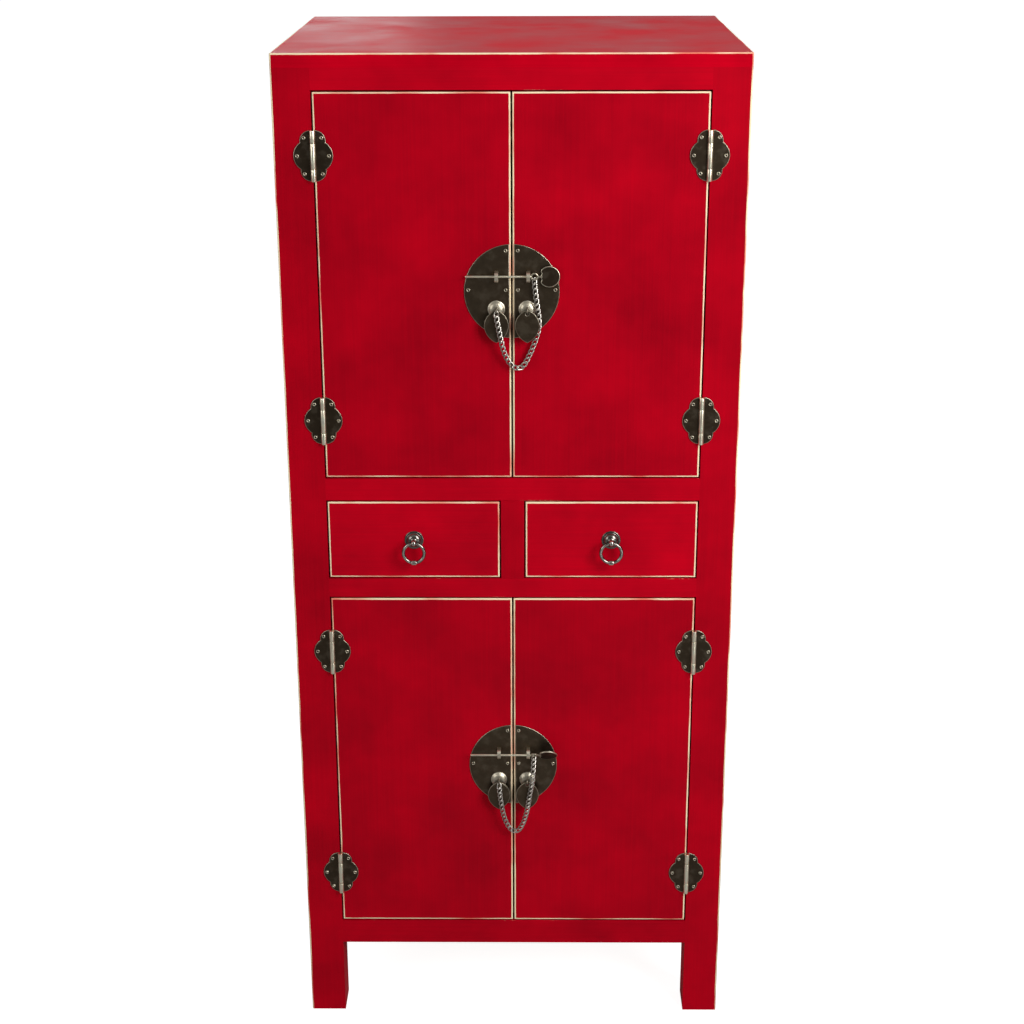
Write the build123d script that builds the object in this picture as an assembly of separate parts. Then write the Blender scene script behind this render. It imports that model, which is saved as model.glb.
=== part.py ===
from build123d import *
import math
import os

# Chinese wedding cabinet: a lacquered frame-and-panel carcass with two pairs of doors and two
# drawers between them, butterfly hinges, round split lock plates, lock bolts on chains, leaf
# pulls and ring pulls. Millimetres, +Z up, the front faces -Y, and X runs from left to right.
#
# Everything is first laid out with the carcass front in the plane Y = 0 and the floor at Z = 0.
# Hardware stands out towards -Y, and "out" below is that distance from the front plane. At the
# end the whole cabinet moves along Y, so that its origin is the bottom centre of its box.

# ---------------------------------------------------------------- carcass sizes
width = 608.0
depth = 520.0
post_size = 50.0
rail_thickness = 22.0

# the stack of heights, from the floor up
leg_clearance = 117.0
bottom_rail_height = 38.0
lower_opening = 518.0
rail_below_drawers_height = 28.0
drawer_opening = 114.0
rail_above_drawers_height = 32.0
upper_opening = 517.0
top_rail_height = 28.0
top_thickness = 18.0

drawer_divider_width = 32.0
side_recess = 7.0
side_panel_thickness = 15.0
back_recess = 8.0
back_panel_thickness = 12.0
groove_depth = 8.0
panel_gap = 0.5
tenon_thickness = 8.0
tenon_length = 20.0
tenon_shoulder = 1.0
tenon_relief = 0.5
divider_tenon_width = 20.0
divider_tenon_length = 9.0

floor_thickness = 12.0
shelf_thickness = 15.0
notch_clearance = 0.3
cleat_width = 14.0
cleat_height = 20.0

# ---------------------------------------------------------------- doors
door_thickness = 20.0
door_gap = 2.0
door_meeting_gap = 2.4
door_stop_gap = 1.0
arris = 1.2

# ---------------------------------------------------------------- drawers
drawer_front_thickness = 20.0
drawer_gap = 2.0
drawer_rear_gap = 30.0
drawer_side_thickness = 10.0
drawer_side_height = 98.0
drawer_bottom_thickness = 5.0
drawer_bottom_height = 10.0
drawer_bottom_groove = 5.0
drawer_running_gap = 0.3
drawer_side_clearance = 1.0
guide_height = 20.0
kicker_overhang = 14.0

# ---------------------------------------------------------------- butterfly hinges
hinge_height = 65.0
hinge_reach = 25.4
hinge_crown = 3.0
hinge_notch = (16.4, 17.0)
hinge_lobe_bulge = 4.6
hinge_leaf_thickness = 1.4
hinge_inset = 80.0
knuckle_radius = 3.4
knuckle_facets = 8
knuckle_seat_gap = 0.3
knuckle_gap = 0.4
middle_knuckle_share = 0.5
pin_radius = 1.6
pin_facets = 6
pin_clearance = 0.08

# ---------------------------------------------------------------- lock plates, bosses and leaf pulls
plate_radius = 62.5
plate_thickness = 1.2
plate_edge = 3.2
boss_offset = 20.3
boss_drop = 23.5
boss_radius = 11.5
boss_shoulder_radius = 8.0
boss_crown_radius = 3.0
boss_rim = 0.7
boss_rise = 4.2
boss_shoulder_share = 0.7
eye_out = 11.0
boss_facets = 12
eye_radius = 4.0
eye_wire = 2.0
eye_stem = 2.0
eye_stem_root = 0.5
eye_facets = 10

leaf_length = 43.0
leaf_half_width = 16.2
leaf_widest_drop = 21.5
leaf_neck_half = 3.6
leaf_bulge = 3.6
leaf_plate = 2.0
leaf_hole_radius = 2.3
leaf_web = 1.5

# ---------------------------------------------------------------- staples, bolts and chains
staple_offsets = (20.0, 21.6)
staple_width = 4.8
staple_height = 14.0
staple_strap = 1.4
staple_reach = 14.8
bolt_rise = 20.5
bolt_radius = 1.5
bolt_facets = 8
bolt_tip = -60.7
bolt_eye_x = 29.6
bolt_eye_radius = 4.2
bolt_eye_thickness = 2.4
paddle_radius = 14.0
paddle_centre = 49.0
paddle_shoulder_angle = 45.0
paddle_lobe_half = 4.4
paddle_lobe_bulge = 1.2
paddle_thickness = 2.0
upper_bolt_out = 5.0
upper_bolt_lean = 0.0
lower_bolt_out = 11.8
lower_bolt_lean = 42.0

link_wire = 1.3
link_width = 6.8
link_inner_length = 7.65
link_slack = 0.55
link_corner = 1.5
chain_twist = 45.0
chain_twist_links = 5
chain_hook_angle = 35.0
chain_hook_slack = 0.9

# Each chain hangs from the left eye to the bolt's eye. The points are (x, out, z), with x from
# the meeting line of the doors and z from the centre of the lock plate.
upper_chain_route = [
    (-19.8, 17.0, -32.0),
    (-17.6, 16.8, -45.0),
    (-14.8, 16.2, -60.0),
    (-11.4, 13.4, -75.0),
    (-6.6, 9.8, -88.6),
    (-1.6, 7.6, -96.6),
    (4.4, 6.2, -101.4),
    (11.4, 5.6, -101.6),
    (17.2, 5.4, -96.0),
    (22.4, 5.4, -86.0),
    (28.0, 5.6, -73.0),
    (32.8, 5.6, -59.0),
    (35.4, 5.6, -46.0),
    (35.2, 5.7, -34.0),
    (33.8, 6.4, -22.0),
    (32.0, 6.4, -9.0),
    (30.4, 5.6, 4.0),
]
lower_chain_route = [
    (-19.8, 17.2, -32.0),
    (-18.4, 17.0, -45.0),
    (-16.2, 16.4, -61.0),
    (-13.4, 14.4, -77.0),
    (-8.8, 12.6, -90.6),
    (-4.8, 11.6, -97.8),
    (0.4, 11.0, -102.0),
    (6.0, 11.2, -101.6),
    (10.6, 12.2, -96.2),
    (14.2, 13.8, -87.6),
    (17.4, 15.6, -77.0),
    (20.2, 16.8, -64.0),
    (22.2, 17.2, -50.0),
    (24.6, 17.2, -36.0),
    (26.8, 17.0, -22.0),
    (28.2, 15.6, -8.0),
    (29.0, 12.6, 4.0),
]

# ---------------------------------------------------------------- ring pulls
rosette_radius = 13.0
rosette_rim = 1.0
rosette_step = 0.6
rosette_ledge_radius = 10.8
rosette_dome_radius = 9.6
rosette_shoulder_radius = 8.2
rosette_shoulder_rise = 2.8
rosette_crown_radius = 4.6
rosette_rise = 5.4
rosette_facets = 14
ring_pull_out = 14.0
ring_radius = 14.2
ring_wire = 4.2
ring_facets = 16
ring_collar_length = 7.4
ring_collar_radius = 3.4
ring_eye_radius = 4.4
ring_eye_width = 4.0
ring_eye_bore = 2.5
ring_stem = 3.2

# ---------------------------------------------------------------- places worked out from the sizes
bottom_rail_z = leg_clearance
lower_opening_z = bottom_rail_z + bottom_rail_height
rail_below_drawers_z = lower_opening_z + lower_opening
drawer_opening_z = rail_below_drawers_z + rail_below_drawers_height
rail_above_drawers_z = drawer_opening_z + drawer_opening
upper_opening_z = rail_above_drawers_z + rail_above_drawers_height
top_rail_z = upper_opening_z + upper_opening
top_panel_z = top_rail_z + top_rail_height
height = top_panel_z + top_thickness

inner_half = width / 2 - post_size
side_rail_thickness = side_recess + side_panel_thickness
back_rail_thickness = back_recess + back_panel_thickness
inside_half = width / 2 - side_rail_thickness
inside_back = depth - back_rail_thickness
divider_half = drawer_divider_width / 2
side_shoulder = groove_depth + tenon_shoulder

hinge_x = inner_half - door_gap / 2
hinge_out = knuckle_radius + knuckle_seat_gap
upper_lock_z = upper_opening_z + upper_opening / 2
lower_lock_z = lower_opening_z + lower_opening / 2
drawer_centre_x = (divider_half + inner_half) / 2
drawer_centre_z = drawer_opening_z + drawer_opening / 2


def block(x0, x1, y0, y1, z0, z1):
    """A board, from its low corner to its high corner."""
    middle = Pos((x0 + x1) / 2, (y0 + y1) / 2, (z0 + z1) / 2)
    return middle * Box(x1 - x0, y1 - y0, z1 - z0)


def mirrored(shape):
    """The same piece on the other side of the cabinet."""
    return mirror(shape, about=Plane.YZ)


def on_side(side, shape):
    """A shape drawn on the right, kept there or mirrored to the left."""
    return shape if side == "right" else mirrored(shape)


def group(*shapes):
    """Separate solids that share one node."""
    return Compound([solid for shape in shapes for solid in shape.solids()])


# ================================================================ carcass
front_rails = {
    "bottom_rail": (bottom_rail_z, bottom_rail_height),
    "rail_below_drawers": (rail_below_drawers_z, rail_below_drawers_height),
    "rail_above_drawers": (rail_above_drawers_z, rail_above_drawers_height),
    "front_top_rail": (top_rail_z, top_rail_height),
}
edge_rails = (front_rails["bottom_rail"], front_rails["front_top_rail"])
side_rail_x = width / 2 - side_rail_thickness / 2
back_rail_y = depth - back_rail_thickness / 2


def cross_tenon(z, rail_height, y, relief=0.0):
    """The right tenon of a rail that runs along X, or its mortise when relief is given."""
    half = tenon_thickness / 2
    return block(
        inner_half,
        inner_half + tenon_length + relief,
        y - half,
        y + half,
        z + side_shoulder,
        z + rail_height - side_shoulder,
    )


def side_tenon(z, rail_height, y0, y1):
    """A tenon of the right side rails, or its mortise, between two distances from the front."""
    half = tenon_thickness / 2
    return block(
        side_rail_x - half,
        side_rail_x + half,
        y0,
        y1,
        z + side_shoulder,
        z + rail_height - side_shoulder,
    )


def divider_tenon(z0, z1):
    """A tenon of the drawer divider, or its mortise."""
    half = tenon_thickness / 2
    middle = rail_thickness / 2
    return block(
        -divider_tenon_width / 2, divider_tenon_width / 2, middle - half, middle + half, z0, z1
    )


def front_rail(name):
    """A front rail with a tenon at each end, mortised where the drawer divider meets it."""
    z, rail_height = front_rails[name]
    rail = block(-inner_half, inner_half, 0, rail_thickness, z, z + rail_height)
    tenon = cross_tenon(z, rail_height, rail_thickness / 2)
    rail = rail + tenon + mirrored(tenon)
    reach = divider_tenon_length + tenon_relief
    if name == "rail_below_drawers":
        rail -= divider_tenon(drawer_opening_z - reach, drawer_opening_z)
    if name == "rail_above_drawers":
        rail -= divider_tenon(rail_above_drawers_z, rail_above_drawers_z + reach)
    return rail


def side_panel_groove(y0, y1):
    """The groove in a right post that takes the side panel's edge."""
    return block(
        inside_half,
        width / 2 - side_recess,
        y0,
        y1,
        lower_opening_z - groove_depth,
        top_rail_z + groove_depth,
    )


def front_post():
    """The right front post, with its mortises and the groove of the side panel."""
    post = block(inner_half, width / 2, 0, post_size, 0, top_panel_z)
    for z, rail_height in front_rails.values():
        post -= cross_tenon(z, rail_height, rail_thickness / 2, tenon_relief)
    for z, rail_height in edge_rails:
        post -= side_tenon(z, rail_height, post_size - tenon_length - tenon_relief, post_size)
    return post - side_panel_groove(post_size - groove_depth, post_size)


def rear_post():
    """The right rear post, grooved for the side panel and the back panel."""
    front_face = depth - post_size
    post = block(inner_half, width / 2, front_face, depth, 0, top_panel_z)
    for z, rail_height in edge_rails:
        post -= cross_tenon(z, rail_height, back_rail_y, tenon_relief)
        post -= side_tenon(z, rail_height, front_face, front_face + tenon_length + tenon_relief)
    post -= side_panel_groove(front_face, front_face + groove_depth)
    return post - block(
        inner_half,
        inner_half + groove_depth,
        inside_back,
        depth - back_recess,
        lower_opening_z - groove_depth,
        top_rail_z + groove_depth,
    )


def rebate_span(z, rail_height):
    """The stretch of an edge rail that is cut back for a panel: its top below, its foot above."""
    if z == bottom_rail_z:
        return z + rail_height - groove_depth, z + rail_height
    return z, z + groove_depth


def side_rail(z, rail_height):
    """A right side rail, tenoned into both posts and rebated for the side panel."""
    y0, y1 = post_size, depth - post_size
    rail = block(inside_half, width / 2, y0, y1, z, z + rail_height)
    rail += side_tenon(z, rail_height, y0 - tenon_length, y1 + tenon_length)
    return rail - block(
        inside_half, width / 2 - side_recess, y0, y1, *rebate_span(z, rail_height)
    )


def rear_rail(z, rail_height):
    """A back rail, tenoned into the rear posts and rebated for the back panel."""
    rail = block(-inner_half, inner_half, inside_back, depth, z, z + rail_height)
    tenon = cross_tenon(z, rail_height, back_rail_y)
    rail = rail + tenon + mirrored(tenon)
    return rail - block(
        -inner_half, inner_half, inside_back, depth - back_recess, *rebate_span(z, rail_height)
    )


def side_panel():
    """The right side panel, loose in its grooves."""
    slip = groove_depth - panel_gap
    return block(
        inside_half,
        width / 2 - side_recess,
        post_size - slip,
        depth - post_size + slip,
        lower_opening_z - slip,
        top_rail_z + slip,
    )


def back_panel():
    """The back panel, loose in its grooves."""
    slip = groove_depth - panel_gap
    return block(
        -inner_half - slip,
        inner_half + slip,
        inside_back,
        depth - back_recess,
        lower_opening_z - slip,
        top_rail_z + slip,
    )


def inner_board(front, top, thickness):
    """A floor or shelf between the side panels, notched round the four posts."""
    board = block(-inside_half, inside_half, front, inside_back, top - thickness, top)
    notch_x = inner_half - notch_clearance
    for y0, y1 in (
        (front, post_size + notch_clearance),
        (depth - post_size - notch_clearance, inside_back),
    ):
        notch = block(notch_x, inside_half, y0, y1, top - thickness, top)
        board -= notch
        board -= mirrored(notch)
    return board


def shelf_top(opening_z, opening):
    """The top of a shelf half way up a compartment."""
    return opening_z + (opening + shelf_thickness) / 2


def cleat(board_top, thickness):
    """The cleat on the right side panel that carries a board."""
    under = board_top - thickness
    return block(
        inside_half - cleat_width,
        inside_half,
        post_size,
        depth - post_size,
        under - cleat_height,
        under,
    )


def drawer_divider():
    """The short stile between the drawers, tenoned into the rails above and below."""
    divider = block(
        -divider_half, divider_half, 0, rail_thickness, drawer_opening_z, rail_above_drawers_z
    )
    return divider + divider_tenon(
        drawer_opening_z - divider_tenon_length, rail_above_drawers_z + divider_tenon_length
    )


def drawer_guides():
    """The strips on the deck that keep the drawers straight, and the kicker above them."""
    guide_top = drawer_opening_z + guide_height
    middle = block(
        -divider_half, divider_half, rail_thickness, inside_back, drawer_opening_z, guide_top
    )
    side = block(
        inner_half, inside_half, post_size, depth - post_size, drawer_opening_z, guide_top
    )
    kicker_half = divider_half + kicker_overhang
    kicker = block(
        -kicker_half,
        kicker_half,
        rail_thickness,
        inside_back,
        rail_above_drawers_z,
        upper_opening_z - floor_thickness,
    )
    return group(middle, side, mirrored(side), kicker)


# ================================================================ doors and hinges
def door(opening_z, opening):
    """The right door of a pair: one flat board with eased front arrises."""
    board = block(
        door_meeting_gap / 2,
        inner_half - door_gap,
        0,
        door_thickness,
        opening_z + door_gap,
        opening_z + opening - door_gap,
    )
    return chamfer(board.faces().sort_by(Axis.Y)[0].edges(), arris)


def hinge_places(opening_z, opening):
    """The heights of the two hinges of a door."""
    bottom = opening_z + door_gap + hinge_inset
    top = opening_z + opening - door_gap - hinge_inset
    return bottom, top


middle_knuckle_half = hinge_height * middle_knuckle_share / 2
middle_knuckle = [(-middle_knuckle_half, middle_knuckle_half)]
end_knuckles = [
    (-hinge_height / 2, -middle_knuckle_half - knuckle_gap),
    (middle_knuckle_half + knuckle_gap, hinge_height / 2),
]


def hinge_rod(outline, z0, z1):
    """A length of the hinge's barrel or of its pin, upright on the hinge's axis."""
    return Pos(0, -hinge_out, z0) * extrude(outline, amount=z1 - z0)


def hinge_leaf(own, other):
    """A scalloped leaf to the right of the hinge's axis, with the knuckles it carries."""
    half = hinge_height / 2
    crown = (hinge_crown, half)
    foot = (hinge_crown, -half)
    upper_notch = hinge_notch
    lower_notch = (hinge_notch[0], -hinge_notch[1])
    outline = [
        Line((0, -half), (0, half)),
        Line((0, half), crown),
        SagittaArc(crown, upper_notch, hinge_lobe_bulge),
        ThreePointArc(upper_notch, (hinge_reach, 0), lower_notch),
        SagittaArc(lower_notch, foot, hinge_lobe_bulge),
        Line(foot, (0, -half)),
    ]
    leaf = extrude(Plane.XZ * make_face(outline), amount=hinge_leaf_thickness)
    reach = knuckle_radius + knuckle_gap
    for z0, z1 in other:
        leaf -= block(0, reach, -hinge_leaf_thickness, 0, z0 - knuckle_gap, z1 + knuckle_gap)
    barrel = RegularPolygon(knuckle_radius, knuckle_facets, major_radius=False)
    for z0, z1 in own:
        leaf += hinge_rod(barrel, z0, z1)
    return leaf


def frame_leaves(side):
    """The leaves on one pair of posts, with the end knuckles and the fixed pins between them."""
    leaf = hinge_leaf(end_knuckles, middle_knuckle)
    pin = RegularPolygon(pin_radius, pin_facets)
    reach = middle_knuckle_half + knuckle_gap
    leaf += hinge_rod(pin, -reach, reach)
    places = hinge_places(lower_opening_z, lower_opening)
    places += hinge_places(upper_opening_z, upper_opening)
    return on_side(side, group(*[Pos(hinge_x, 0, z) * leaf for z in places]))


def door_leaves(opening_z, opening):
    """The two leaves on a right door, each with the bored middle knuckle of its hinge."""
    leaf = hinge_leaf(middle_knuckle, end_knuckles)
    bore = Circle(pin_radius + pin_clearance)
    leaf -= hinge_rod(bore, -middle_knuckle_half, middle_knuckle_half)
    leaf = mirrored(leaf)
    return group(*[Pos(hinge_x, 0, z) * leaf for z in hinge_places(opening_z, opening)])


# ================================================================ lock hardware
def lock_plate(z):
    """The right half of the round lock plate."""
    end = math.sqrt(plate_radius**2 - plate_edge**2)
    outline = [
        Line((plate_edge, -end), (plate_edge, end)),
        ThreePointArc((plate_edge, end), (plate_radius, 0), (plate_edge, -end)),
    ]
    return Pos(0, 0, z) * extrude(Plane.XZ * make_face(outline), amount=plate_thickness)


def flat_ring(plane, radius, wire, thickness, facets):
    """A faceted ring of square wire, lying in a plane and centred on it."""
    turn = 180 / facets
    outer = RegularPolygon(radius + wire / 2, facets, major_radius=False, rotation=turn)
    inner = RegularPolygon(radius - wire / 2, facets, major_radius=False, rotation=turn)
    return extrude(plane * (outer - inner), amount=thickness / 2, both=True)


def staple(offset):
    """The strap that holds the bolt to the plate: an arch with its feet on the plate."""
    half = staple_height / 2
    tall = staple_reach - plate_thickness
    outer = Rectangle(tall, staple_height, align=(Align.MIN, Align.CENTER))
    inner = Rectangle(
        tall - staple_strap, staple_height - 2 * staple_strap, align=(Align.MIN, Align.CENTER)
    )
    arch = chamfer(outer.vertices().sort_by(Axis.X)[-2:], half / 2)
    arch -= chamfer(inner.vertices().sort_by(Axis.X)[-2:], half / 2 - staple_strap / 2)
    towards_viewer = Plane(origin=(0, -plate_thickness, 0), x_dir=(0, -1, 0), z_dir=(1, 0, 0))
    return Pos(offset, 0, 0) * extrude(towards_viewer * arch, amount=staple_width / 2, both=True)


def beaten_dome(facets, rings):
    """A convex dome with flats, through rings given as a radius and a distance out."""
    corners = []
    for radius, out in rings:
        for flat in range(facets):
            angle = math.tau * flat / facets
            corners.append((radius * math.cos(angle), -out, radius * math.sin(angle)))
    return ConvexPolyhedron(corners)


def boss_and_eye():
    """The domed boss, with the wire eye that the leaf pull hangs from."""
    rim = plate_thickness + boss_rim
    crown = rim + boss_rise
    rings = [
        (boss_radius, plate_thickness),
        (boss_radius, rim),
        (boss_shoulder_radius, rim + boss_rise * boss_shoulder_share),
        (boss_crown_radius, crown),
    ]
    boss = beaten_dome(boss_facets, rings)
    eye = Pos(0, -eye_out, 0) * flat_ring(Plane.YZ, eye_radius, eye_wire, eye_wire, eye_facets)
    half = eye_stem / 2
    stem = block(-half, half, -eye_out + eye_radius, -crown + eye_stem_root, -half, half)
    return boss + eye + stem


def lock_fittings(z, staple_offset):
    """The staple and the boss on the right half of a lock."""
    bolt_staple = Pos(0, 0, z + bolt_rise) * staple(staple_offset)
    return group(bolt_staple, Pos(boss_offset, 0, z - boss_drop) * boss_and_eye())


def leaf_pull(z):
    """The right leaf-shaped pull, hanging by its hole from the eye."""
    hole_z = -eye_radius
    top = hole_z + leaf_hole_radius + leaf_web
    neck = (leaf_neck_half, top)
    widest = (leaf_half_width, -leaf_widest_drop)
    tip = (0, -leaf_length)
    right = [
        Line((0, top), neck),
        SagittaArc(neck, widest, leaf_bulge),
        SagittaArc(widest, tip, leaf_bulge),
    ]
    left = [mirror(edge, about=Plane.YZ) for edge in right]
    hole = Pos(0, hole_z) * RegularPolygon(leaf_hole_radius, 10, major_radius=False)
    plate = extrude(
        Plane.XZ * (make_face(right + left) - hole), amount=leaf_plate / 2, both=True
    )
    return Pos(boss_offset, -eye_out, z - boss_drop) * plate


def bolt(z, out, lean):
    """The lock bolt: a pin, the eye of its chain and a scalloped paddle to pull it by."""
    rod_end = bolt_eye_x - bolt_eye_radius
    rod = RegularPolygon(bolt_radius, bolt_facets, major_radius=False)
    rod = extrude(Plane.YZ.offset(bolt_tip) * rod, amount=rod_end - bolt_tip)
    eye = Pos(bolt_eye_x, 0, 0) * flat_ring(
        Plane.XZ, bolt_eye_radius, bolt_eye_thickness, bolt_eye_thickness, eye_facets
    )
    half = paddle_thickness / 2
    shoulder_angle = math.radians(paddle_shoulder_angle)
    shoulder_x = paddle_centre - paddle_radius * math.cos(shoulder_angle)
    top = (shoulder_x, paddle_radius * math.sin(shoulder_angle))
    upper = (shoulder_x, paddle_lobe_half)
    lower = (shoulder_x, -paddle_lobe_half)
    foot = (shoulder_x, -top[1])
    outline = [
        SagittaArc(top, upper, -paddle_lobe_bulge),
        SagittaArc(upper, lower, -paddle_lobe_bulge),
        SagittaArc(lower, foot, -paddle_lobe_bulge),
        ThreePointArc(foot, (paddle_centre + paddle_radius, 0), top),
    ]
    paddle = extrude(Plane.XZ * make_face(outline), amount=half, both=True)
    neck = block(bolt_eye_x + bolt_eye_radius, shoulder_x, -half, half, -half * 2, half * 2)
    return Pos(0, -out, z + bolt_rise) * Rot(lean, 0, 0) * (rod + eye + neck + paddle)


def chain_link():
    """One link in the XY plane, its length along X: a long ring of square wire."""
    outer = Rectangle(link_inner_length + 2 * link_wire, link_width)
    inner = Rectangle(link_inner_length, link_width - 2 * link_wire)
    outer = chamfer(outer.vertices(), link_corner)
    return extrude(outer - inner, amount=link_wire / 2, both=True)


def chain(z, route, out, lean):
    """The links of a chain, from the left eye to the eye of the bolt."""
    hook = math.radians(chain_hook_angle)
    hook_way = Vector(0, -math.cos(hook), -math.sin(hook))
    start = Vector(-boss_offset, -eye_out, -boss_drop) + hook_way * eye_radius
    tilt = math.radians(lean)
    eye_bottom = Vector(0, math.sin(tilt), -math.cos(tilt)) * bolt_eye_radius
    end = Vector(bolt_eye_x, -out, bolt_rise) + eye_bottom
    points = [start, *[Vector(x, -stand, rise) for x, stand, rise in route], end]
    line = Spline(points)

    first = link_inner_length / 2 - eye_wire / 2 - chain_hook_slack
    last = link_inner_length / 2 - bolt_eye_thickness / 2 - chain_hook_slack
    between = line.length - first - last
    steps = math.ceil(between / (link_inner_length - link_slack))
    steps += 1 - steps % 2
    link = chain_link()
    links = []
    for step in range(steps + 1):
        share = (first + between * step / steps) / line.length
        along = line.tangent_at(share)
        across = along.cross(Vector(0, -1, 0)).normalized()
        seat = Plane(origin=line.position_at(share), x_dir=along, z_dir=along.cross(across))
        twist = chain_twist * min(1, step / chain_twist_links, (steps - step) / chain_twist_links)
        roll = 90 * (step % 2) - twist
        links.append(seat * Rot(roll, 0, 0) * link)
    return Pos(0, 0, z) * group(*links)


# ================================================================ drawers
def drawer_front():
    """The right drawer's front, grooved for its bottom."""
    front = block(
        divider_half + drawer_gap,
        inner_half - drawer_gap,
        0,
        drawer_front_thickness,
        drawer_opening_z + drawer_gap,
        rail_above_drawers_z - drawer_gap,
    )
    front = chamfer(front.faces().sort_by(Axis.Y)[0].edges(), arris)
    return front - drawer_bottom_board(panel_gap)


drawer_floor_z = drawer_opening_z + drawer_running_gap
drawer_box_x0 = divider_half + drawer_side_clearance
drawer_box_x1 = inner_half - drawer_side_clearance
drawer_box_end = inside_back - drawer_rear_gap


def drawer_bottom_board(slack=0.0):
    """The right drawer's bottom, in the grooves of the sides and the front, or those grooves."""
    inset = drawer_side_thickness - drawer_bottom_groove - slack
    low = drawer_floor_z + drawer_bottom_height
    return block(
        drawer_box_x0 + inset,
        drawer_box_x1 - inset,
        drawer_front_thickness - drawer_bottom_groove - slack,
        drawer_box_end,
        low,
        low + drawer_bottom_thickness,
    )


def drawer_sides():
    """The two sides of the right drawer."""
    top = drawer_floor_z + drawer_side_height
    sides = []
    for x0 in (drawer_box_x0, drawer_box_x1 - drawer_side_thickness):
        side = block(
            x0,
            x0 + drawer_side_thickness,
            drawer_front_thickness,
            drawer_box_end,
            drawer_floor_z,
            top,
        )
        sides.append(side - drawer_bottom_board(panel_gap))
    return group(*sides)


def drawer_back():
    """The right drawer's back, standing on the bottom board."""
    return block(
        drawer_box_x0 + drawer_side_thickness,
        drawer_box_x1 - drawer_side_thickness,
        drawer_box_end - drawer_side_thickness,
        drawer_box_end,
        drawer_floor_z + drawer_bottom_height + drawer_bottom_thickness,
        drawer_floor_z + drawer_side_height,
    )


def rosette():
    """The stepped rosette on a drawer front, with the stem and eye of its ring."""
    ledge = rosette_rim + rosette_step
    crown = rosette_rim + rosette_rise
    base_rings = [
        (rosette_radius, 0),
        (rosette_radius, rosette_rim),
        (rosette_ledge_radius, ledge),
    ]
    dome_rings = [
        (rosette_dome_radius, ledge),
        (rosette_shoulder_radius, ledge + rosette_shoulder_rise),
        (rosette_crown_radius, crown),
    ]
    dome = beaten_dome(rosette_facets, base_rings) + beaten_dome(rosette_facets, dome_rings)
    eye_wire_radius = (ring_eye_radius + ring_eye_bore) / 2
    eye_section = ring_eye_radius - ring_eye_bore
    eye = flat_ring(Plane.YZ, eye_wire_radius, eye_section, ring_eye_width, eye_facets)
    half = ring_stem / 2
    stem = block(-half, half, -ring_pull_out + eye_wire_radius, -crown, -half, half)
    return dome + Pos(0, -ring_pull_out, 0) * eye + stem


def pull_ring():
    """The ring of a drawer, hanging in its eye, with the small collar at its foot."""
    wire = flat_ring(Plane.XZ, ring_radius, ring_wire, ring_wire, ring_facets)
    flats = wire.faces().sort_by(Axis.Y)
    rims = flats[0].edges() + flats[-1].edges()
    wire = chamfer(rims, ring_wire / 2 * (1 - math.tan(math.pi / 8)))
    collar = RegularPolygon(ring_collar_radius, 10, major_radius=False)
    collar = extrude(Plane.YZ * collar, amount=ring_collar_length / 2, both=True)
    return Pos(0, -ring_pull_out, -ring_radius) * (wire + Pos(0, 0, -ring_radius) * collar)


# ================================================================ all nodes
lower_shelf_top = shelf_top(lower_opening_z, lower_opening)
upper_shelf_top = shelf_top(upper_opening_z, upper_opening)
shelf_front = door_thickness + door_stop_gap

nodes = {
    "top_panel": block(-width / 2, width / 2, 0, depth, top_panel_z, height),
    "front_left_post": mirrored(front_post()),
    "front_right_post": front_post(),
    "rear_left_post": mirrored(rear_post()),
    "rear_right_post": rear_post(),
    **{name: front_rail(name) for name in front_rails},
    "drawer_divider": drawer_divider(),
    "drawer_guides": drawer_guides(),
    "left_side_panel": mirrored(side_panel()),
    "right_side_panel": side_panel(),
    "back_panel": back_panel(),
    "rear_rails": group(*[rear_rail(*place) for place in edge_rails]),
    "lower_floor": inner_board(rail_thickness, lower_opening_z, floor_thickness),
    "drawer_deck": inner_board(rail_thickness, drawer_opening_z, floor_thickness),
    "upper_floor": inner_board(rail_thickness, upper_opening_z, floor_thickness),
    "lower_shelf": inner_board(shelf_front, lower_shelf_top, shelf_thickness),
    "upper_shelf": inner_board(shelf_front, upper_shelf_top, shelf_thickness),
    "left_hinge_frame_leaves": frame_leaves("left"),
    "right_hinge_frame_leaves": frame_leaves("right"),
}
right_side_rails = group(*[side_rail(*place) for place in edge_rails])
nodes["side_rails"] = group(right_side_rails, mirrored(right_side_rails))
right_cleats = group(
    cleat(lower_opening_z, floor_thickness),
    cleat(drawer_opening_z, floor_thickness),
    cleat(upper_opening_z, floor_thickness),
    cleat(lower_shelf_top, shelf_thickness),
    cleat(upper_shelf_top, shelf_thickness),
)
nodes["board_cleats"] = group(right_cleats, mirrored(right_cleats))

door_pairs = {
    "upper": (upper_opening_z, upper_opening, upper_lock_z, upper_bolt_out, upper_bolt_lean),
    "lower": (lower_opening_z, lower_opening, lower_lock_z, lower_bolt_out, lower_bolt_lean),
}
chain_routes = {"upper": upper_chain_route, "lower": lower_chain_route}
for pair, (opening_z, opening, lock_z, bolt_out, bolt_lean) in door_pairs.items():
    for side, staple_offset in zip(("left", "right"), staple_offsets):
        name = f"{pair}_{side}"
        nodes[f"{name}_door"] = on_side(side, door(opening_z, opening))
        nodes[f"{name}_door_hinge_leaves"] = on_side(side, door_leaves(opening_z, opening))
        nodes[f"{name}_lock_plate"] = on_side(side, lock_plate(lock_z))
        nodes[f"{name}_lock_fittings"] = on_side(side, lock_fittings(lock_z, staple_offset))
        nodes[f"{name}_leaf_pull"] = on_side(side, leaf_pull(lock_z))
    nodes[f"{pair}_lock_bolt"] = bolt(lock_z, bolt_out, bolt_lean)
    nodes[f"{pair}_lock_chain"] = chain(lock_z, chain_routes[pair], bolt_out, bolt_lean)

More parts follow.
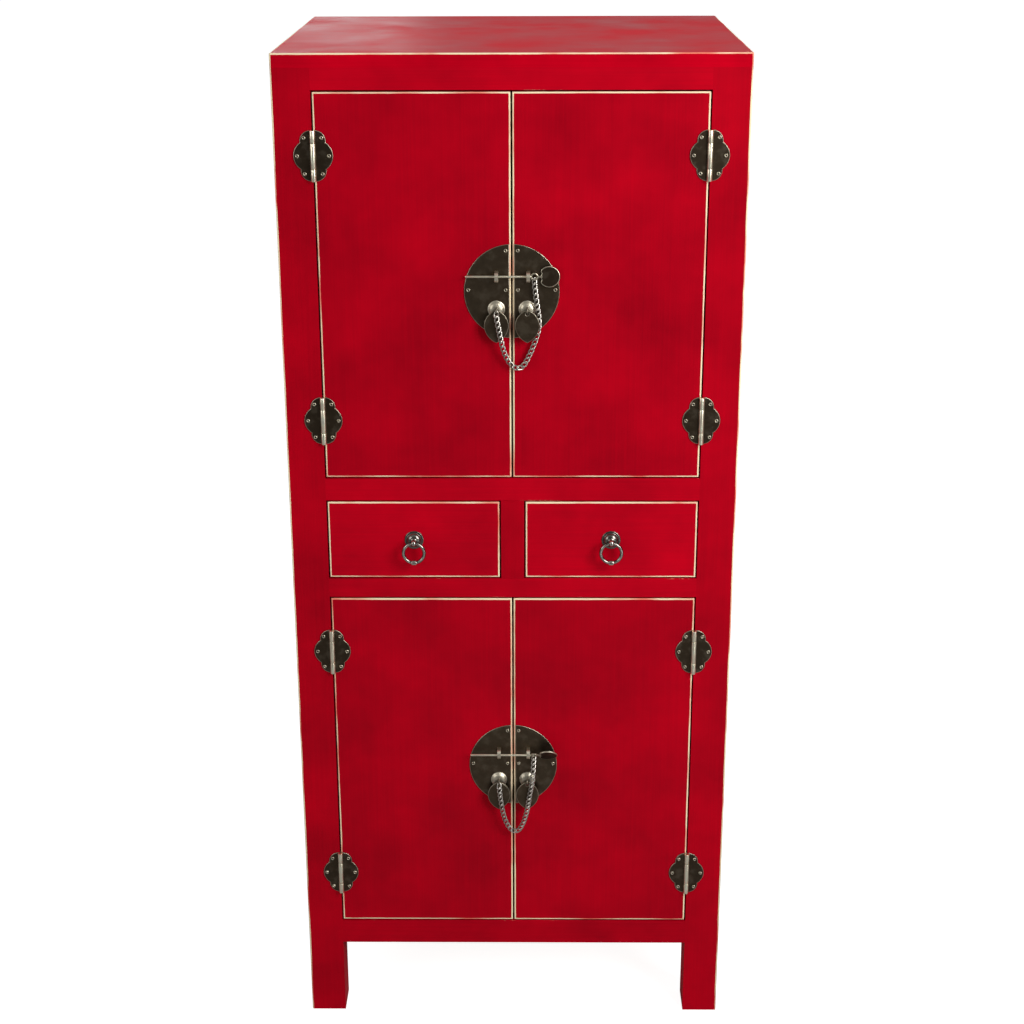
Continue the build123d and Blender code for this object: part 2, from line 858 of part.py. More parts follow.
for side in ("left", "right"):
    nodes[f"{side}_drawer_front"] = on_side(side, drawer_front())
    nodes[f"{side}_drawer_sides"] = on_side(side, drawer_sides())
    nodes[f"{side}_drawer_back"] = on_side(side, drawer_back())
    nodes[f"{side}_drawer_bottom"] = on_side(side, drawer_bottom_board())
    pull_place = Pos(drawer_centre_x, 0, drawer_centre_z)
    nodes[f"{side}_drawer_rosette"] = on_side(side, pull_place * rosette())
    nodes[f"{side}_drawer_ring"] = on_side(side, pull_place * pull_ring())

# the origin is the bottom centre of the whole cabinet, hardware included
hardware_reach = -min(shape.bounding_box().min.Y for shape in nodes.values())
to_origin = Pos(0, (hardware_reach - depth) / 2, 0)

os.makedirs("parts", exist_ok=True)
for name, shape in nodes.items():
    export_step(to_origin * shape, f"parts/{name}.step")
print(len(nodes), "nodes; the hardware stands out", round(hardware_reach, 3), "mm")
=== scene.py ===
# %% [markdown]
# # A Chinese wedding cabinet in worn red lacquer
# This is a softwood case, coated with cream gesso and red lacquer that is rubbed through at its
# edges, with hinges, lock plates and pulls of darkened brass. Its construction model already fixes
# every size. That model could simply be given colours, but it leaves out what the eye looks for
# up close: eased edges, nails, filed rims and round wire. So this script rebuilds the pieces that
# show, each in the place of the old one, and gives every surface its real finish.

# %% Load the frame
import math
import bmesh
import bpy
import numpy as np
from bmesh.types import BMFace, BMVert
from mathutils import Matrix, Vector


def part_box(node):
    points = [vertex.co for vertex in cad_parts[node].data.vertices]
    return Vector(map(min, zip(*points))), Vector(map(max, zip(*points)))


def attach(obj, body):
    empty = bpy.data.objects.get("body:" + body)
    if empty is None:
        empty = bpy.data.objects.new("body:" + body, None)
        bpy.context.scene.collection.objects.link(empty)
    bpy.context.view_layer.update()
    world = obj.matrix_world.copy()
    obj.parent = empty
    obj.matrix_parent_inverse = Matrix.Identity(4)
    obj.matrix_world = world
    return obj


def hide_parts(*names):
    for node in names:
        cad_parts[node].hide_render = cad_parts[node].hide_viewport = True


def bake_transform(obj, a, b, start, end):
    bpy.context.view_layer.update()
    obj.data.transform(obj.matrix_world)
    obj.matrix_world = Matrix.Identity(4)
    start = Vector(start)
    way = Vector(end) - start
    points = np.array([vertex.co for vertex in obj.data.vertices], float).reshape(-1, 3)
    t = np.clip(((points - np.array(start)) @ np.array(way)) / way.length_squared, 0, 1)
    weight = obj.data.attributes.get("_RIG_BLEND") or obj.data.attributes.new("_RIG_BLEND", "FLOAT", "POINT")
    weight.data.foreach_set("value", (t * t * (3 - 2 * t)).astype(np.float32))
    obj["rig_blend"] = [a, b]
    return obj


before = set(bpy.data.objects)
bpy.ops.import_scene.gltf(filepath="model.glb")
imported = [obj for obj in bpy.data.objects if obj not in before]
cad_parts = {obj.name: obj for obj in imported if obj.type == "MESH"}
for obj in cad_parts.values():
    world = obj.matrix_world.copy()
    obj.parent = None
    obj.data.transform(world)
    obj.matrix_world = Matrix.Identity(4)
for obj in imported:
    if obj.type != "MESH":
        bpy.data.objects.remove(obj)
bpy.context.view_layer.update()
scene = bpy.context.scene

# %% [markdown]
# ## Millimetres and landmarks
# A workshop drawing is in millimetres and Blender counts in metres. The scene could show other
# units, but a script would still work in metres, so one short function turns millimetres into
# metres and every size below stays readable. The front of the doors is the plane that all the
# hardware stands on. It is measured on the construction model, so the two can't drift apart.

# %% Millimetres and landmarks
def mm(size):
    """Millimetres as Blender's metres."""
    return size / 1000


def in_mm(length):
    """Metres as millimetres, to print."""
    return round(length * 1000, 2)


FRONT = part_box("upper_left_door")[0].y
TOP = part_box("top_panel")[1].z
print("front plane at y =", in_mm(FRONT), "mm, top at z =", in_mm(TOP), "mm")

# %% [markdown]
# ## Camera
# Someone who stands well back, a little to the right of the middle, looks down at the cabinet. From
# that far its sides stay nearly parallel. A camera could be aimed by a Track To constraint. Here
# its three turns are written out, because a slight lean to the side is one of them. The lens is
# noted in pixels of a square picture, and turned into millimetres on the sensor.

# %% Camera
PICTURE_SIDE = 1024
FOCAL_PIXELS = 1853.63
SENSOR = 36  # millimetres
CAMERA_RIGHT, CAMERA_OUT, CAMERA_HEIGHT = mm(23.85), mm(2377.24), mm(1658.94)
TILT_DOWN, TURN_LEFT, LEAN = 0.3472, 0.0103, -0.0031  # radians

camera_data = bpy.data.cameras.new("eye_level_camera")
camera_data.sensor_width = SENSOR
camera_data.lens = FOCAL_PIXELS * SENSOR / PICTURE_SIDE
camera = bpy.data.objects.new("eye_level_camera", camera_data)
scene.collection.objects.link(camera)
camera.matrix_world = (
    Matrix.Translation((CAMERA_RIGHT, FRONT - CAMERA_OUT, CAMERA_HEIGHT))
    @ Matrix.Rotation(TURN_LEFT, 4, "Z")
    @ Matrix.Rotation(math.pi / 2 - TILT_DOWN, 4, "X")
    @ Matrix.Rotation(LEAN, 4, "Z")
)
scene.camera = camera
scene.view_settings.view_transform = "Standard"
print("lens", round(camera_data.lens, 2), "mm")

# %% [markdown]
# ## Writing materials
# A material in Blender is a tree of nodes. It could be drawn by hand in the shader editor, but a
# script can be read, compared and used again. Paint colours are noted as sRGB hex values while
# shaders want linear numbers, so one function converts them. A second one adds a node: its
# properties are keywords, and its inputs are plain values or outputs of other nodes to link.

# %% Colour and node helpers
def paint(code):
    """A hex colour as linear red, green, blue and alpha, by the sRGB standard's own formula."""
    channels = [int(code[i : i + 2], 16) / 255 for i in (1, 3, 5)]
    linear = [c / 12.92 if c <= 0.04045 else ((c + 0.055) / 1.055) ** 2.4 for c in channels]
    return (*linear, 1.0)


def add_node(tree, kind, inputs=(), **settings):
    """Add a node, set its properties, then fill or link its inputs, and return it."""
    node = tree.nodes.new("ShaderNode" + kind)
    for name, value in settings.items():
        setattr(node, name, value)
    for name, value in dict(inputs).items():
        if isinstance(value, bpy.types.NodeSocket):
            tree.links.new(value, node.inputs[name])
        else:
            node.inputs[name].default_value = value
    return node


def new_material(name):
    """An empty node material and its output node."""
    material = bpy.data.materials.new(name)
    material.use_nodes = True
    material.node_tree.nodes.clear()
    return material, add_node(material.node_tree, "OutputMaterial")


# A Mix node has inputs of the same name for numbers and for colours, so they go by number.
FACTOR, NUMBER_A, NUMBER_B, COLOUR_A, COLOUR_B = 0, 2, 3, 6, 7
MIXED_NUMBER, MIXED_COLOUR = 0, 2
print("a lacquer red of #A80A1C is, in linear numbers,", [round(c, 3) for c in paint("#A80A1C")])

# %% [markdown]
# ## Red lacquer: the brushed coat
# Thin red lacquer is brushed over the gesso, so it lies deeper in one place than in another. The
# eye sees cloudy patches a hand wide, and fine streaks along the brush's way. Both could be
# painted as a picture, but noise needs no unwrapping and never repeats. One noise is broad and
# round. The other is pulled out along the brush by a Mapping node. Their sizes are real ones.

# %% The brushed coat
NOISE_RANGE = {"From Min": 0.3, "From Max": 0.7}  # noise seldom leaves this part of 0 to 1
CLOUD = mm(110)
BRISTLE = mm(2.2)  # coarser than a real bristle's mark, so that it shows from eye distance
BRUSH_STROKE = mm(160)
STREAK_SHARE = 0.22


def brushed_coat(tree, place, brushed_along, deep, bright):
    """The red of a brushed coat, and the clouds and streaks that it is made of."""
    clouds = add_node(
        tree, "TexNoise", {"Vector": place, "Scale": 1 / CLOUD, "Detail": 3.0, "Roughness": 0.6}
    ).outputs["Fac"]
    stretch = [1 / BRUSH_STROKE if axis == brushed_along else 1 / BRISTLE for axis in "XYZ"]
    along = add_node(tree, "Mapping", {"Vector": place, "Scale": stretch}).outputs["Vector"]
    streaks = add_node(
        tree, "TexNoise", {"Vector": along, "Scale": 1.0, "Detail": 2.0}
    ).outputs["Fac"]
    mottle = add_node(
        tree, "Mix", {FACTOR: STREAK_SHARE, NUMBER_A: clouds, NUMBER_B: streaks}, data_type="FLOAT"
    ).outputs[MIXED_NUMBER]
    depth = add_node(tree, "MapRange", {**NOISE_RANGE, "Value": mottle}).outputs[0]
    red = add_node(
        tree,
        "Mix",
        {FACTOR: depth, COLOUR_A: paint(deep), COLOUR_B: paint(bright)},
        data_type="RGBA",
    )
    return red.outputs[MIXED_COLOUR], clouds, streaks


print("a cloud is", in_mm(CLOUD), "mm wide, a stroke", in_mm(BRUSH_STROKE), "mm long")

# %% [markdown]
# ## Red lacquer: the rubbed edges
# The edges are rubbed back when the coat is dry. The cream gesso shows there, and coral where a
# breath of red is left. Blender can find edges by itself, with Pointiness or the Bevel node, but it
# would wear every edge alike. So the pieces carry an attribute called rub, 0 for an untouched coat
# and 1 for bare, written where the wood is eased. Noise makes its border uneven, as a hand does.

# %% The rubbed edges
WORN_PATCH = mm(80)
GRIT = mm(1.6)
PATCH_WEAR, GRIT_WEAR = (-0.22, 0.14), (-0.05, 0.05)
BREAKS_THROUGH = {"From Min": 0.34, "From Max": 0.62}
CORAL_TO_CREAM = {"From Min": 0.36, "From Max": 0.52}
CORAL, CREAM = "#E8806A", "#F6E2BC"


def rubbed_through(tree, place, coat):
    """The coat where it holds, and coral or cream where rub has gone through it."""
    rub = add_node(tree, "Attribute", attribute_name="rub").outputs["Fac"]
    patches = add_node(
        tree, "TexNoise", {"Vector": place, "Scale": 1 / WORN_PATCH, "Detail": 3.0}
    ).outputs["Fac"]
    grit = add_node(
        tree, "TexNoise", {"Vector": place, "Scale": 1 / GRIT, "Detail": 1.0}
    ).outputs["Fac"]
    worn = rub
    for noise, (least, most) in ((patches, PATCH_WEAR), (grit, GRIT_WEAR)):
        uneven = add_node(
            tree, "MapRange", {**NOISE_RANGE, "Value": noise, "To Min": least, "To Max": most}
        )
        worn = add_node(tree, "Math", {0: worn, 1: uneven.outputs[0]}, operation="ADD").outputs[0]
    bare = add_node(tree, "MapRange", {**BREAKS_THROUGH, "Value": worn})
    creamy = add_node(tree, "MapRange", {**CORAL_TO_CREAM, "Value": patches})
    undercoat = add_node(
        tree,
        "Mix",
        {FACTOR: creamy.outputs[0], COLOUR_A: paint(CORAL), COLOUR_B: paint(CREAM)},
        data_type="RGBA",
    )
    colour = add_node(
        tree,
        "Mix",
        {FACTOR: bare.outputs[0], COLOUR_A: coat, COLOUR_B: undercoat.outputs[MIXED_COLOUR]},
        data_type="RGBA",
    )
    return colour.outputs[MIXED_COLOUR]


print("undercoat from", CORAL, "to", CREAM)

# %% [markdown]
# ## Red lacquer: the finish
# Rubbed lacquer is satin, not glossy: it is waxed, and light from the side gives it a soft sheen
# that follows the clouds. A coat layer over the paint could make that, but it would mirror the
# lamps. One plain surface keeps the red deep: it starts from varnish, with an index of 1.5, and
# its specular level is lowered until the wax looks right. Boards are brushed along their length,
# so upright and level boards have lacquers of their own. The level boards, the posts and the top
# are painted a shade brighter than the doors, as painted light, and the bottom rail keeps the
# doors' deeper red as painted shade.

# %% The lacquers
SATIN, DULL = 0.36, 0.5
STREAK_STRENGTH, STREAK_RELIEF = 0.12, mm(0.4)


def lacquer(name, brushed_along, deep="#930215", bright="#B80019", shine=0.03):
    """Rubbed lacquer whose brush marks run along X, Y or Z."""
    material, output = new_material(name)
    tree = material.node_tree
    place = add_node(tree, "TexCoord").outputs["Object"]
    red, clouds, streaks = brushed_coat(tree, place, brushed_along, deep, bright)
    sheen = add_node(
        tree, "MapRange", {**NOISE_RANGE, "Value": clouds, "To Min": SATIN, "To Max": DULL}
    )
    relief = add_node(
        tree, "Bump", {"Strength": STREAK_STRENGTH, "Distance": STREAK_RELIEF, "Height": streaks}
    )
    surface = add_node(
        tree,
        "BsdfPrincipled",
        {
            "Base Color": rubbed_through(tree, place, red),
            "Roughness": sheen.outputs[0],
            "Normal": relief.outputs[0],
            "Specular IOR Level": shine,
        },
    )
    tree.links.new(surface.outputs[0], output.inputs[0])
    return material


upright_lacquer = lacquer("rubbed_red_lacquer_upright", "Z")
side_lacquer = lacquer("rubbed_red_lacquer_deep", "Y")
# the foot lacquer keeps the doors' deeper red, so the bottom rail is darker than the other rails: painted
# shade
foot_lacquer_painted_shade = lacquer("rubbed_red_lacquer_foot_painted_shade", "X")
# the level, post and top lacquers are painted brighter than the doors' red: painted light
level_lacquer_painted_light = lacquer("rubbed_red_lacquer_level_painted_light", "X", "#A00217", "#C4001B")
post_lacquer_painted_light = lacquer("rubbed_red_lacquer_posts", "Z", "#960215", "#BA0019")
top_lacquer_painted_light = lacquer("rubbed_red_lacquer_top_painted_light", "X", "#A20217", "#C8001C", shine=0.01)
print("lacquers:", [m.name for m in bpy.data.materials if "lacquer" in m.name])

# %% [markdown]
# ## Darkened brass: the colour
# The hardware is sheet and cast brass, darkened to a brown-black patina. Hands and cloth bring the
# metal back on rims, barrels and domes. Two materials could be given to different faces, but the
# real change is soft, so one colour runs from patina to bright metal by the same rub attribute.
# Below 0, rub darkens a hollow with painted shade. Stains make the patina lighter and darker.

# %% The colour of patina
LIGHTER_AND_DARKER = {"To Min": 0.85, "To Max": 1.15}
# how much brightness a hollow keeps under its painted shade, where rub is -1
PAINTED_HOLLOW_SHADE = 0.1


def patina_colour(tree, stains, rub, worn, patina, metal):
    """Patina and bright metal by wear, varied by stains and darkened in hollows by painted shade."""
    colour = add_node(
        tree,
        "Mix",
        {FACTOR: worn, COLOUR_A: paint(patina), COLOUR_B: paint(metal)},
        data_type="RGBA",
    )
    shade = add_node(tree, "MapRange", {**NOISE_RANGE, **LIGHTER_AND_DARKER, "Value": stains})
    # rub below 0 darkens the colour: painted shade in a hollow
    painted_shade = add_node(
        tree,
        "MapRange",
        {"Value": rub, "From Min": -1.0, "From Max": 0.0, "To Min": PAINTED_HOLLOW_SHADE, "To Max": 1.0},
    )
    shade = add_node(tree, "Math", {0: shade.outputs[0], 1: painted_shade.outputs[0]}, operation="MULTIPLY")
    shaded = add_node(
        tree,
        "Mix",
        {FACTOR: 1.0, COLOUR_A: colour.outputs[MIXED_COLOUR], COLOUR_B: shade.outputs[0]},
        data_type="RGBA",
        blend_type="MULTIPLY",
    )
    return shaded.outputs[MIXED_COLOUR]


print("painted_hollow_shade leaves", PAINTED_HOLLOW_SHADE, "of the brightness")

# %% [markdown]
# ## Darkened brass: the surface
# Brass is a metal, so it is fully metallic and keeps the default index, and its colour is that of
# what it mirrors. Patina is duller than polished metal, so roughness follows the wear as well, and
# fine specks pit it. Sheet, cast, drawn and beaten brass differ in how dark they were made and how
# smooth they are. One function makes all five, so that they age alike.

# %% The brasses
STAIN = mm(14)
SPECK = mm(1.2)
STAIN_WEAR = {"From Min": 0.35, "From Max": 0.65, "To Min": -0.04, "To Max": 0.04}
SPECK_RELIEF = mm(0.2)


def patinated_brass(name, patina, metal, dull, polished, pitting=0.15):
    """Darkened brass: patina where it is left alone, bright metal where rub says so."""
    material, output = new_material(name)
    tree = material.node_tree
    place = add_node(tree, "TexCoord").outputs["Object"]
    rub = add_node(tree, "Attribute", attribute_name="rub").outputs["Fac"]
    stains = add_node(
        tree, "TexNoise", {"Vector": place, "Scale": 1 / STAIN, "Detail": 4.0, "Roughness": 0.6}
    ).outputs["Fac"]
    specks = add_node(
        tree, "TexNoise", {"Vector": place, "Scale": 1 / SPECK, "Detail": 2.0}
    ).outputs["Fac"]
    uneven = add_node(tree, "MapRange", {**STAIN_WEAR, "Value": stains})
    worn = add_node(
        tree, "Math", {0: rub, 1: uneven.outputs[0]}, operation="ADD", use_clamp=True
    ).outputs[0]
    gloss = add_node(tree, "MapRange", {"Value": worn, "To Min": dull, "To Max": polished})
    relief = add_node(
        tree, "Bump", {"Strength": pitting, "Distance": SPECK_RELIEF, "Height": specks}
    )
    surface = add_node(
        tree,
        "BsdfPrincipled",
        {
            "Base Color": patina_colour(tree, stains, rub, worn, patina, metal),
            "Metallic": 1.0,
            "Roughness": gloss.outputs[0],
            "Normal": relief.outputs[0],
        },
    )
    tree.links.new(surface.outputs[0], output.inputs[0])
    return material


sheet_brass = patinated_brass("darkened_sheet_brass", "#594D3E", "#F2E9D0", 0.4, 0.3)
cast_brass = patinated_brass("aged_cast_brass", "#26221D", "#FFF8EC", 0.24, 0.16, pitting=0.04)
hinge_brass = patinated_brass("hinge_brass", "#4C4134", "#FFF6DC", 0.4, 0.36)
chain_brass = patinated_brass("tumbled_chain_brass", "#332E27", "#FFF8EC", 0.3, 0.26)
boss_brass = patinated_brass("rubbed_boss_brass", "#5A5246", "#DDD4BE", 0.48, 0.4)
print("brasses:", [m.name for m in bpy.data.materials if "brass" in m.name])

# %% [markdown]
# ## Bare and stained wood
# Inside, the boards are unlacquered fir, pale with straight brown grain. The back is stained a dark
# brown. Grain could be a Wave texture, as rings cut by a plane, but a straight-sawn board shows
# hardly any curve. So it is noise, twenty times longer along the board than across it, and its
# scale is the spacing of the year rings. The same noise, as bump, gives it the relief of a plane.

# %% Wood
YEAR_RING = mm(6)
GRAIN_STRETCH = 20
LATE_TO_EARLY = {"From Min": 0.35, "From Max": 0.62}
PORE_STRENGTH, PORE_DEPTH = 0.2, mm(0.3)


def wood(name, grain_along, early, late, roughness):
    """Straight-grained wood whose grain runs along X, Y or Z."""
    material, output = new_material(name)
    tree = material.node_tree
    place = add_node(tree, "TexCoord").outputs["Object"]
    stretch = [
        1 / (GRAIN_STRETCH * YEAR_RING) if axis == grain_along else 1 / YEAR_RING for axis in "XYZ"
    ]
    along = add_node(tree, "Mapping", {"Vector": place, "Scale": stretch}).outputs["Vector"]
    figure = add_node(
        tree, "TexNoise", {"Vector": along, "Scale": 1.0, "Detail": 5.0, "Distortion": 0.6}
    ).outputs["Fac"]
    ring = add_node(tree, "MapRange", {**LATE_TO_EARLY, "Value": figure})
    colour = add_node(
        tree,
        "Mix",
        {FACTOR: ring.outputs[0], COLOUR_A: paint(late), COLOUR_B: paint(early)},
        data_type="RGBA",
    )
    pores = add_node(
        tree, "Bump", {"Strength": PORE_STRENGTH, "Distance": PORE_DEPTH, "Height": figure}
    )
    surface = add_node(
        tree,
        "BsdfPrincipled",
        {
            "Base Color": colour.outputs[MIXED_COLOUR],
            "Roughness": roughness,
            "Normal": pores.outputs[0],
            "Specular IOR Level": 0.3,
        },
    )
    tree.links.new(surface.outputs[0], output.inputs[0])
    return material


shelf_wood = wood("planed_fir_across", "X", "#C79A66", "#A97A48", 0.6)
drawer_wood = wood("planed_fir_front_to_back", "Y", "#C9A06E", "#AD8150", 0.6)
back_wood = wood("dark_stained_fir", "Z", "#3A1D16", "#26120E", 0.55)
print("woods:", shelf_wood.name, drawer_wood.name, back_wood.name)

# %% [markdown]
# ## Finishing a piece
# Pieces could be made with bpy.ops, as the editor does, but those work on whatever is selected. A
# bmesh is a mesh in the hand: it is shaped first, and becomes an object at the end. Every piece
# ends the same way, with outward faces, its place in its mesh, a material, the body that it moves
# with, and the construction nodes that it stands for.

# %% Piece helpers
def new_bmesh():
    """An empty bmesh that carries the rub attribute, 0 until it is set."""
    bm = bmesh.new()
    bm.verts.layers.float.new("rub")
    return bm


def set_rub(bm, verts, value):
    """Write how far the finish is rubbed through at these vertices."""
    layer = bm.verts.layers.float["rub"]
    for vert in verts:
        vert[layer] = value


def make_piece(name, bm, body, material, replaced=()):
    """Turn a bmesh into a finished piece of the cabinet."""
    bmesh.ops.recalc_face_normals(bm, faces=bm.faces)
    mesh = bpy.data.meshes.new(name)
    bm.to_mesh(mesh)
    bm.free()
    mesh.materials.append(material)
    piece = bpy.data.objects.new(name, mesh)
    scene.collection.objects.link(piece)
    if body:
        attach(piece, body)
    if replaced:
        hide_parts(*replaced)
    print(f"{name}: {len(mesh.polygons)} faces")
    return piece


trial = new_bmesh()
print("every vertex of a new piece carries", trial.verts.layers.float.keys())
trial.free()

# %% [markdown]
# ## Easing edges
# A joiner takes the sharp arris off an edge with sandpaper on a block, and a brassworker files the
# rim of a plate. A Bevel modifier could do it, but it picks edges by their angle alone. The bevel
# operator takes exactly the edges that it is given. Its defaults in a script differ from the
# editor's, so they are all written out. Only curved faces are then shaded smooth.

# %% Edge helpers
def ease(bm, edges, width, segments):
    """Round edges over by a small width."""
    return bmesh.ops.bevel(
        bm,
        geom=edges,
        offset=width,
        affect="EDGES",
        segments=segments,
        profile=0.5,
        material=-1,
        clamp_overlap=True,
    )


def shade_smooth(faces):
    """Shade these faces as parts of a curve."""
    for face in faces:
        face.smooth = True


trial = bmesh.new()
bmesh.ops.create_cube(trial, size=mm(20))
ease(trial, trial.edges[:1], mm(1), segments=3)
print("a cube with one eased edge has", len(trial.faces), "faces")
trial.free()

# %% [markdown]
# ## The sides of a board
# Only the edges of a board that stay exposed are eased. Edges have numbers in Blender, but those
# say nothing to a reader and change with every cut. So a board names its six sides, and an edge is
# the line where two of them meet, such as front and head. A side is known by its axis and by
# whether it lies at the low or the high end of it.

# %% Sides and edges
X, Y, Z = 0, 1, 2
LOW, HIGH = 0, 1
SIDES = {
    "left": (X, LOW),
    "right": (X, HIGH),
    "front": (Y, LOW),
    "back": (Y, HIGH),
    "foot": (Z, LOW),
    "head": (Z, HIGH),
}


def side_of(corners, side):
    """The axis that a side lies across, and its place on that axis."""
    axis, end = SIDES[side]
    return axis, corners[end][axis]


def by_line(point, line, reach):
    """Whether a point is within reach of the line where two sides meet."""
    return all(abs(point[axis] - place) <= reach for axis, place in line)


print("sides:", list(SIDES))

# %% [markdown]
# ## Lacquered boards
# A board is a cube scaled to its size, with its exposed edges eased. The rub attribute fades from
# one vertex to the next, and on a plain box it would fade over the whole board. A picture of the
# wear would need unwrapping. It is simpler to cut loops just inside the eased edges, so that the
# rubbed band ends there.

# %% Board helper
ARRIS = mm(1.2)
FINE_ARRIS = mm(0.6)
FEATHER = mm(1.5)  # how far the rubbing fades beyond the eased edge
SAME_PLACE = 1e-6
SQUARE = 0.999  # a face whose normal has a part above this is square to the board


def cut_loop(bm, corners, side, inset):
    """Cut a loop round the board, parallel to one side and just inside it."""
    axis, place = side_of(corners, side)
    inward = 1 if SIDES[side][1] == LOW else -1
    on_plane, normal = Vector((0, 0, 0)), Vector((0, 0, 0))
    on_plane[axis] = place + inward * inset
    normal[axis] = 1
    geom = [*bm.verts, *bm.edges, *bm.faces]
    bmesh.ops.bisect_plane(bm, geom=geom, plane_co=on_plane, plane_no=normal)


def board(name, low, high, eased, body, material, replaced=(), rubbing=1.0, arris=ARRIS):
    """A lacquered board between two corners, with the named pairs of sides eased and rubbed."""
    corners = (Vector(low), Vector(high))
    bm = new_bmesh()
    bmesh.ops.create_cube(bm, size=1)
    bmesh.ops.scale(bm, vec=corners[1] - corners[0], verts=bm.verts)
    bmesh.ops.translate(bm, vec=(corners[0] + corners[1]) / 2, verts=bm.verts)
    lines = [[side_of(corners, side) for side in pair] for pair in eased]
    exposed = [
        edge
        for edge in bm.edges
        if any(all(by_line(v.co, line, SAME_PLACE) for v in edge.verts) for line in lines)
    ]
    ease(bm, exposed, arris, segments=3)
    shade_smooth(f for f in bm.faces if max(abs(n) for n in f.normal) < SQUARE)
    for side in sorted({side for pair in eased for side in pair}):
        cut_loop(bm, corners, side, arris + FEATHER)
    beveled = [v for v in bm.verts if any(by_line(v.co, line, arris * 1.01) for line in lines)]
    set_rub(bm, beveled, rubbing)
    return make_piece(name, bm, body, material, replaced)


print("an eased edge is", in_mm(ARRIS), "mm wide, and its rubbing fades in", in_mm(FEATHER), "mm")

# %% [markdown]
# ## Top and posts
# Posts, rails and the top stand flush at the front, and the lacquer runs over their joints. If
# every board were eased all round, each joint would show as a groove. So the edges between boards
# are left square, and only the outer ones are eased and rubbed: the top's all round, and each
# post's along the cabinet's own corner.

# %% Top and posts
low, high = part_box("top_panel")
around = [(side, "head") for side in ("front", "left", "right", "back")]
upright = [(depth, side) for depth in ("front", "back") for side in ("left", "right")]
board(
    "lacquered_top", low, high, around + upright, "carcass", top_lacquer_painted_light, ["top_panel"], rubbing=0.9
)
for row, depth in (("front", "front"), ("rear", "back")):
    for side in ("left", "right"):
        node = f"{row}_{side}_post"
        low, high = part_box(node)
        eased = [(depth, side)]
        board(f"lacquered_{node}", low, high, eased, "carcass", post_lacquer_painted_light, [node], rubbing=0.85)

# %% [markdown]
# ## Rails and divider
# The rails and the short divider frame the doors and drawers. Their edges at an opening are only
# just broken, and hardly rubbed. They could keep the tenons that the construction model gives
# them, but nobody sees those inside a joint, so each one simply ends where it meets its neighbour.

# %% Rails and divider
FRAME_RUB = 0.27
inner_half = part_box("front_right_post")[0].x
for node in ("bottom_rail", "rail_below_drawers", "rail_above_drawers", "front_top_rail"):
    low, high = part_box(node)
    low.x, high.x = -inner_half, inner_half
    eased = [("front", "foot")]
    if node != "front_top_rail":
        eased = [("front", "head"), *eased]
    # the bottom rail is painted darker as shade, and the other rails brighter as light
    finish = foot_lacquer_painted_shade if node == "bottom_rail" else level_lacquer_painted_light
    board(f"lacquered_{node}", low, high, eased, "carcass", finish, [node], FRAME_RUB, FINE_ARRIS)
low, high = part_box("drawer_divider")
low.z, high.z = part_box("rail_below_drawers")[1].z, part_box("rail_above_drawers")[0].z
board(
    "lacquered_drawer_divider",
    low,
    high,
    [("front", "left"), ("front", "right")],
    "carcass",
    post_lacquer_painted_light,
    ["drawer_divider"],
    FRAME_RUB,
    FINE_ARRIS,
)

# %% [markdown]
# ## Doors and drawer fronts
# These are flat boards with all four front edges eased and rubbed down to the gesso. The thin
# cream outlines that this leaves are what the eye follows over the whole front. A line could be
# drawn by the material alone, but on a real bevel it also catches the light as the door turns.

# %% Doors and drawer fronts
FRONT_EDGES = [("front", side) for side in ("left", "right", "head", "foot")]
for pair in ("upper", "lower"):
    for side in ("left", "right"):
        node = f"{pair}_{side}_door"
        board(f"lacquered_{node}", *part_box(node), FRONT_EDGES, node, upright_lacquer, [node])
for side in ("left", "right"):
    node = f"{side}_drawer_front"
    board(f"lacquered_{node}", *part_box(node), FRONT_EDGES, f"{side}_drawer", level_lacquer_painted_light, [node])

# %% [markdown]
# ## Outlines for sheet brass
# Hinge leaves, lock plates, leaf pulls and the bolts' paddles are cut from flat sheet, and each
# outline is a chain of arcs, as dividers scratch them on brass. An arc could be a Bezier curve
# turned into a mesh. Here one vertex is spun about the arc's centre, which gives an exact circle
# with the number of steps asked for. The centre follows from the chord and the bulge.

# %% Outline helpers
def arc(bm, start, end, bulge, steps):
    """Spin a vertex from start to end, both (x, z); the arc stands out by bulge to the left."""
    start, end = Vector((start[0], 0, start[1])), Vector((end[0], 0, end[1]))
    half = (end - start).length / 2
    along = (end - start).normalized()
    left = Vector((-along.z, 0, along.x))
    radius = (half**2 + bulge**2) / (2 * abs(bulge))
    centre = (start + end) / 2 + left * (bulge - math.copysign(radius, bulge))
    bmesh.ops.spin(
        bm,
        geom=[bm.verts.new(start)],
        cent=centre,
        axis=(0, math.copysign(1, bulge), 0),
        angle=2 * math.asin(min(1, half / radius)),
        steps=steps,
        use_duplicate=False,
    )


def straight(bm, *points):
    """Straight edges through points given as (x, z)."""
    verts = [bm.verts.new((x, 0, z)) for x, z in points]
    for a, b in zip(verts, verts[1:]):
        bm.edges.new((a, b))


trial = bmesh.new()
arc(trial, (0, 0), (mm(10), 0), mm(2), 8)
print("an arc of 8 steps has", len(trial.verts), "vertices")
trial.free()

# %% [markdown]
# ## From outline to sheet
# A cut sheet has flat faces and a filed rim that hands polish. A Solidify modifier could thicken
# the outline, but the rim has to be chosen afterwards. So the outline is filled, extruded towards
# the viewer, and its front rim is beveled and rubbed. An inset inside the rim stops the rubbing,
# as the loops do on the boards.

# %% Sheet helpers
OUTLINE_JOIN = mm(0.02)
RIM_ANGLE = math.radians(60)


def only(kind, geom):
    """The vertices or the faces in what an operator returns."""
    return [item for item in geom if isinstance(item, kind)]


def extrude(bm, faces, vec):
    """Push faces out by a vector, and return the new ones at the end."""
    grown = bmesh.ops.extrude_face_region(bm, geom=faces)["geom"]
    bmesh.ops.translate(bm, vec=vec, verts=only(BMVert, grown))
    return only(BMFace, grown)


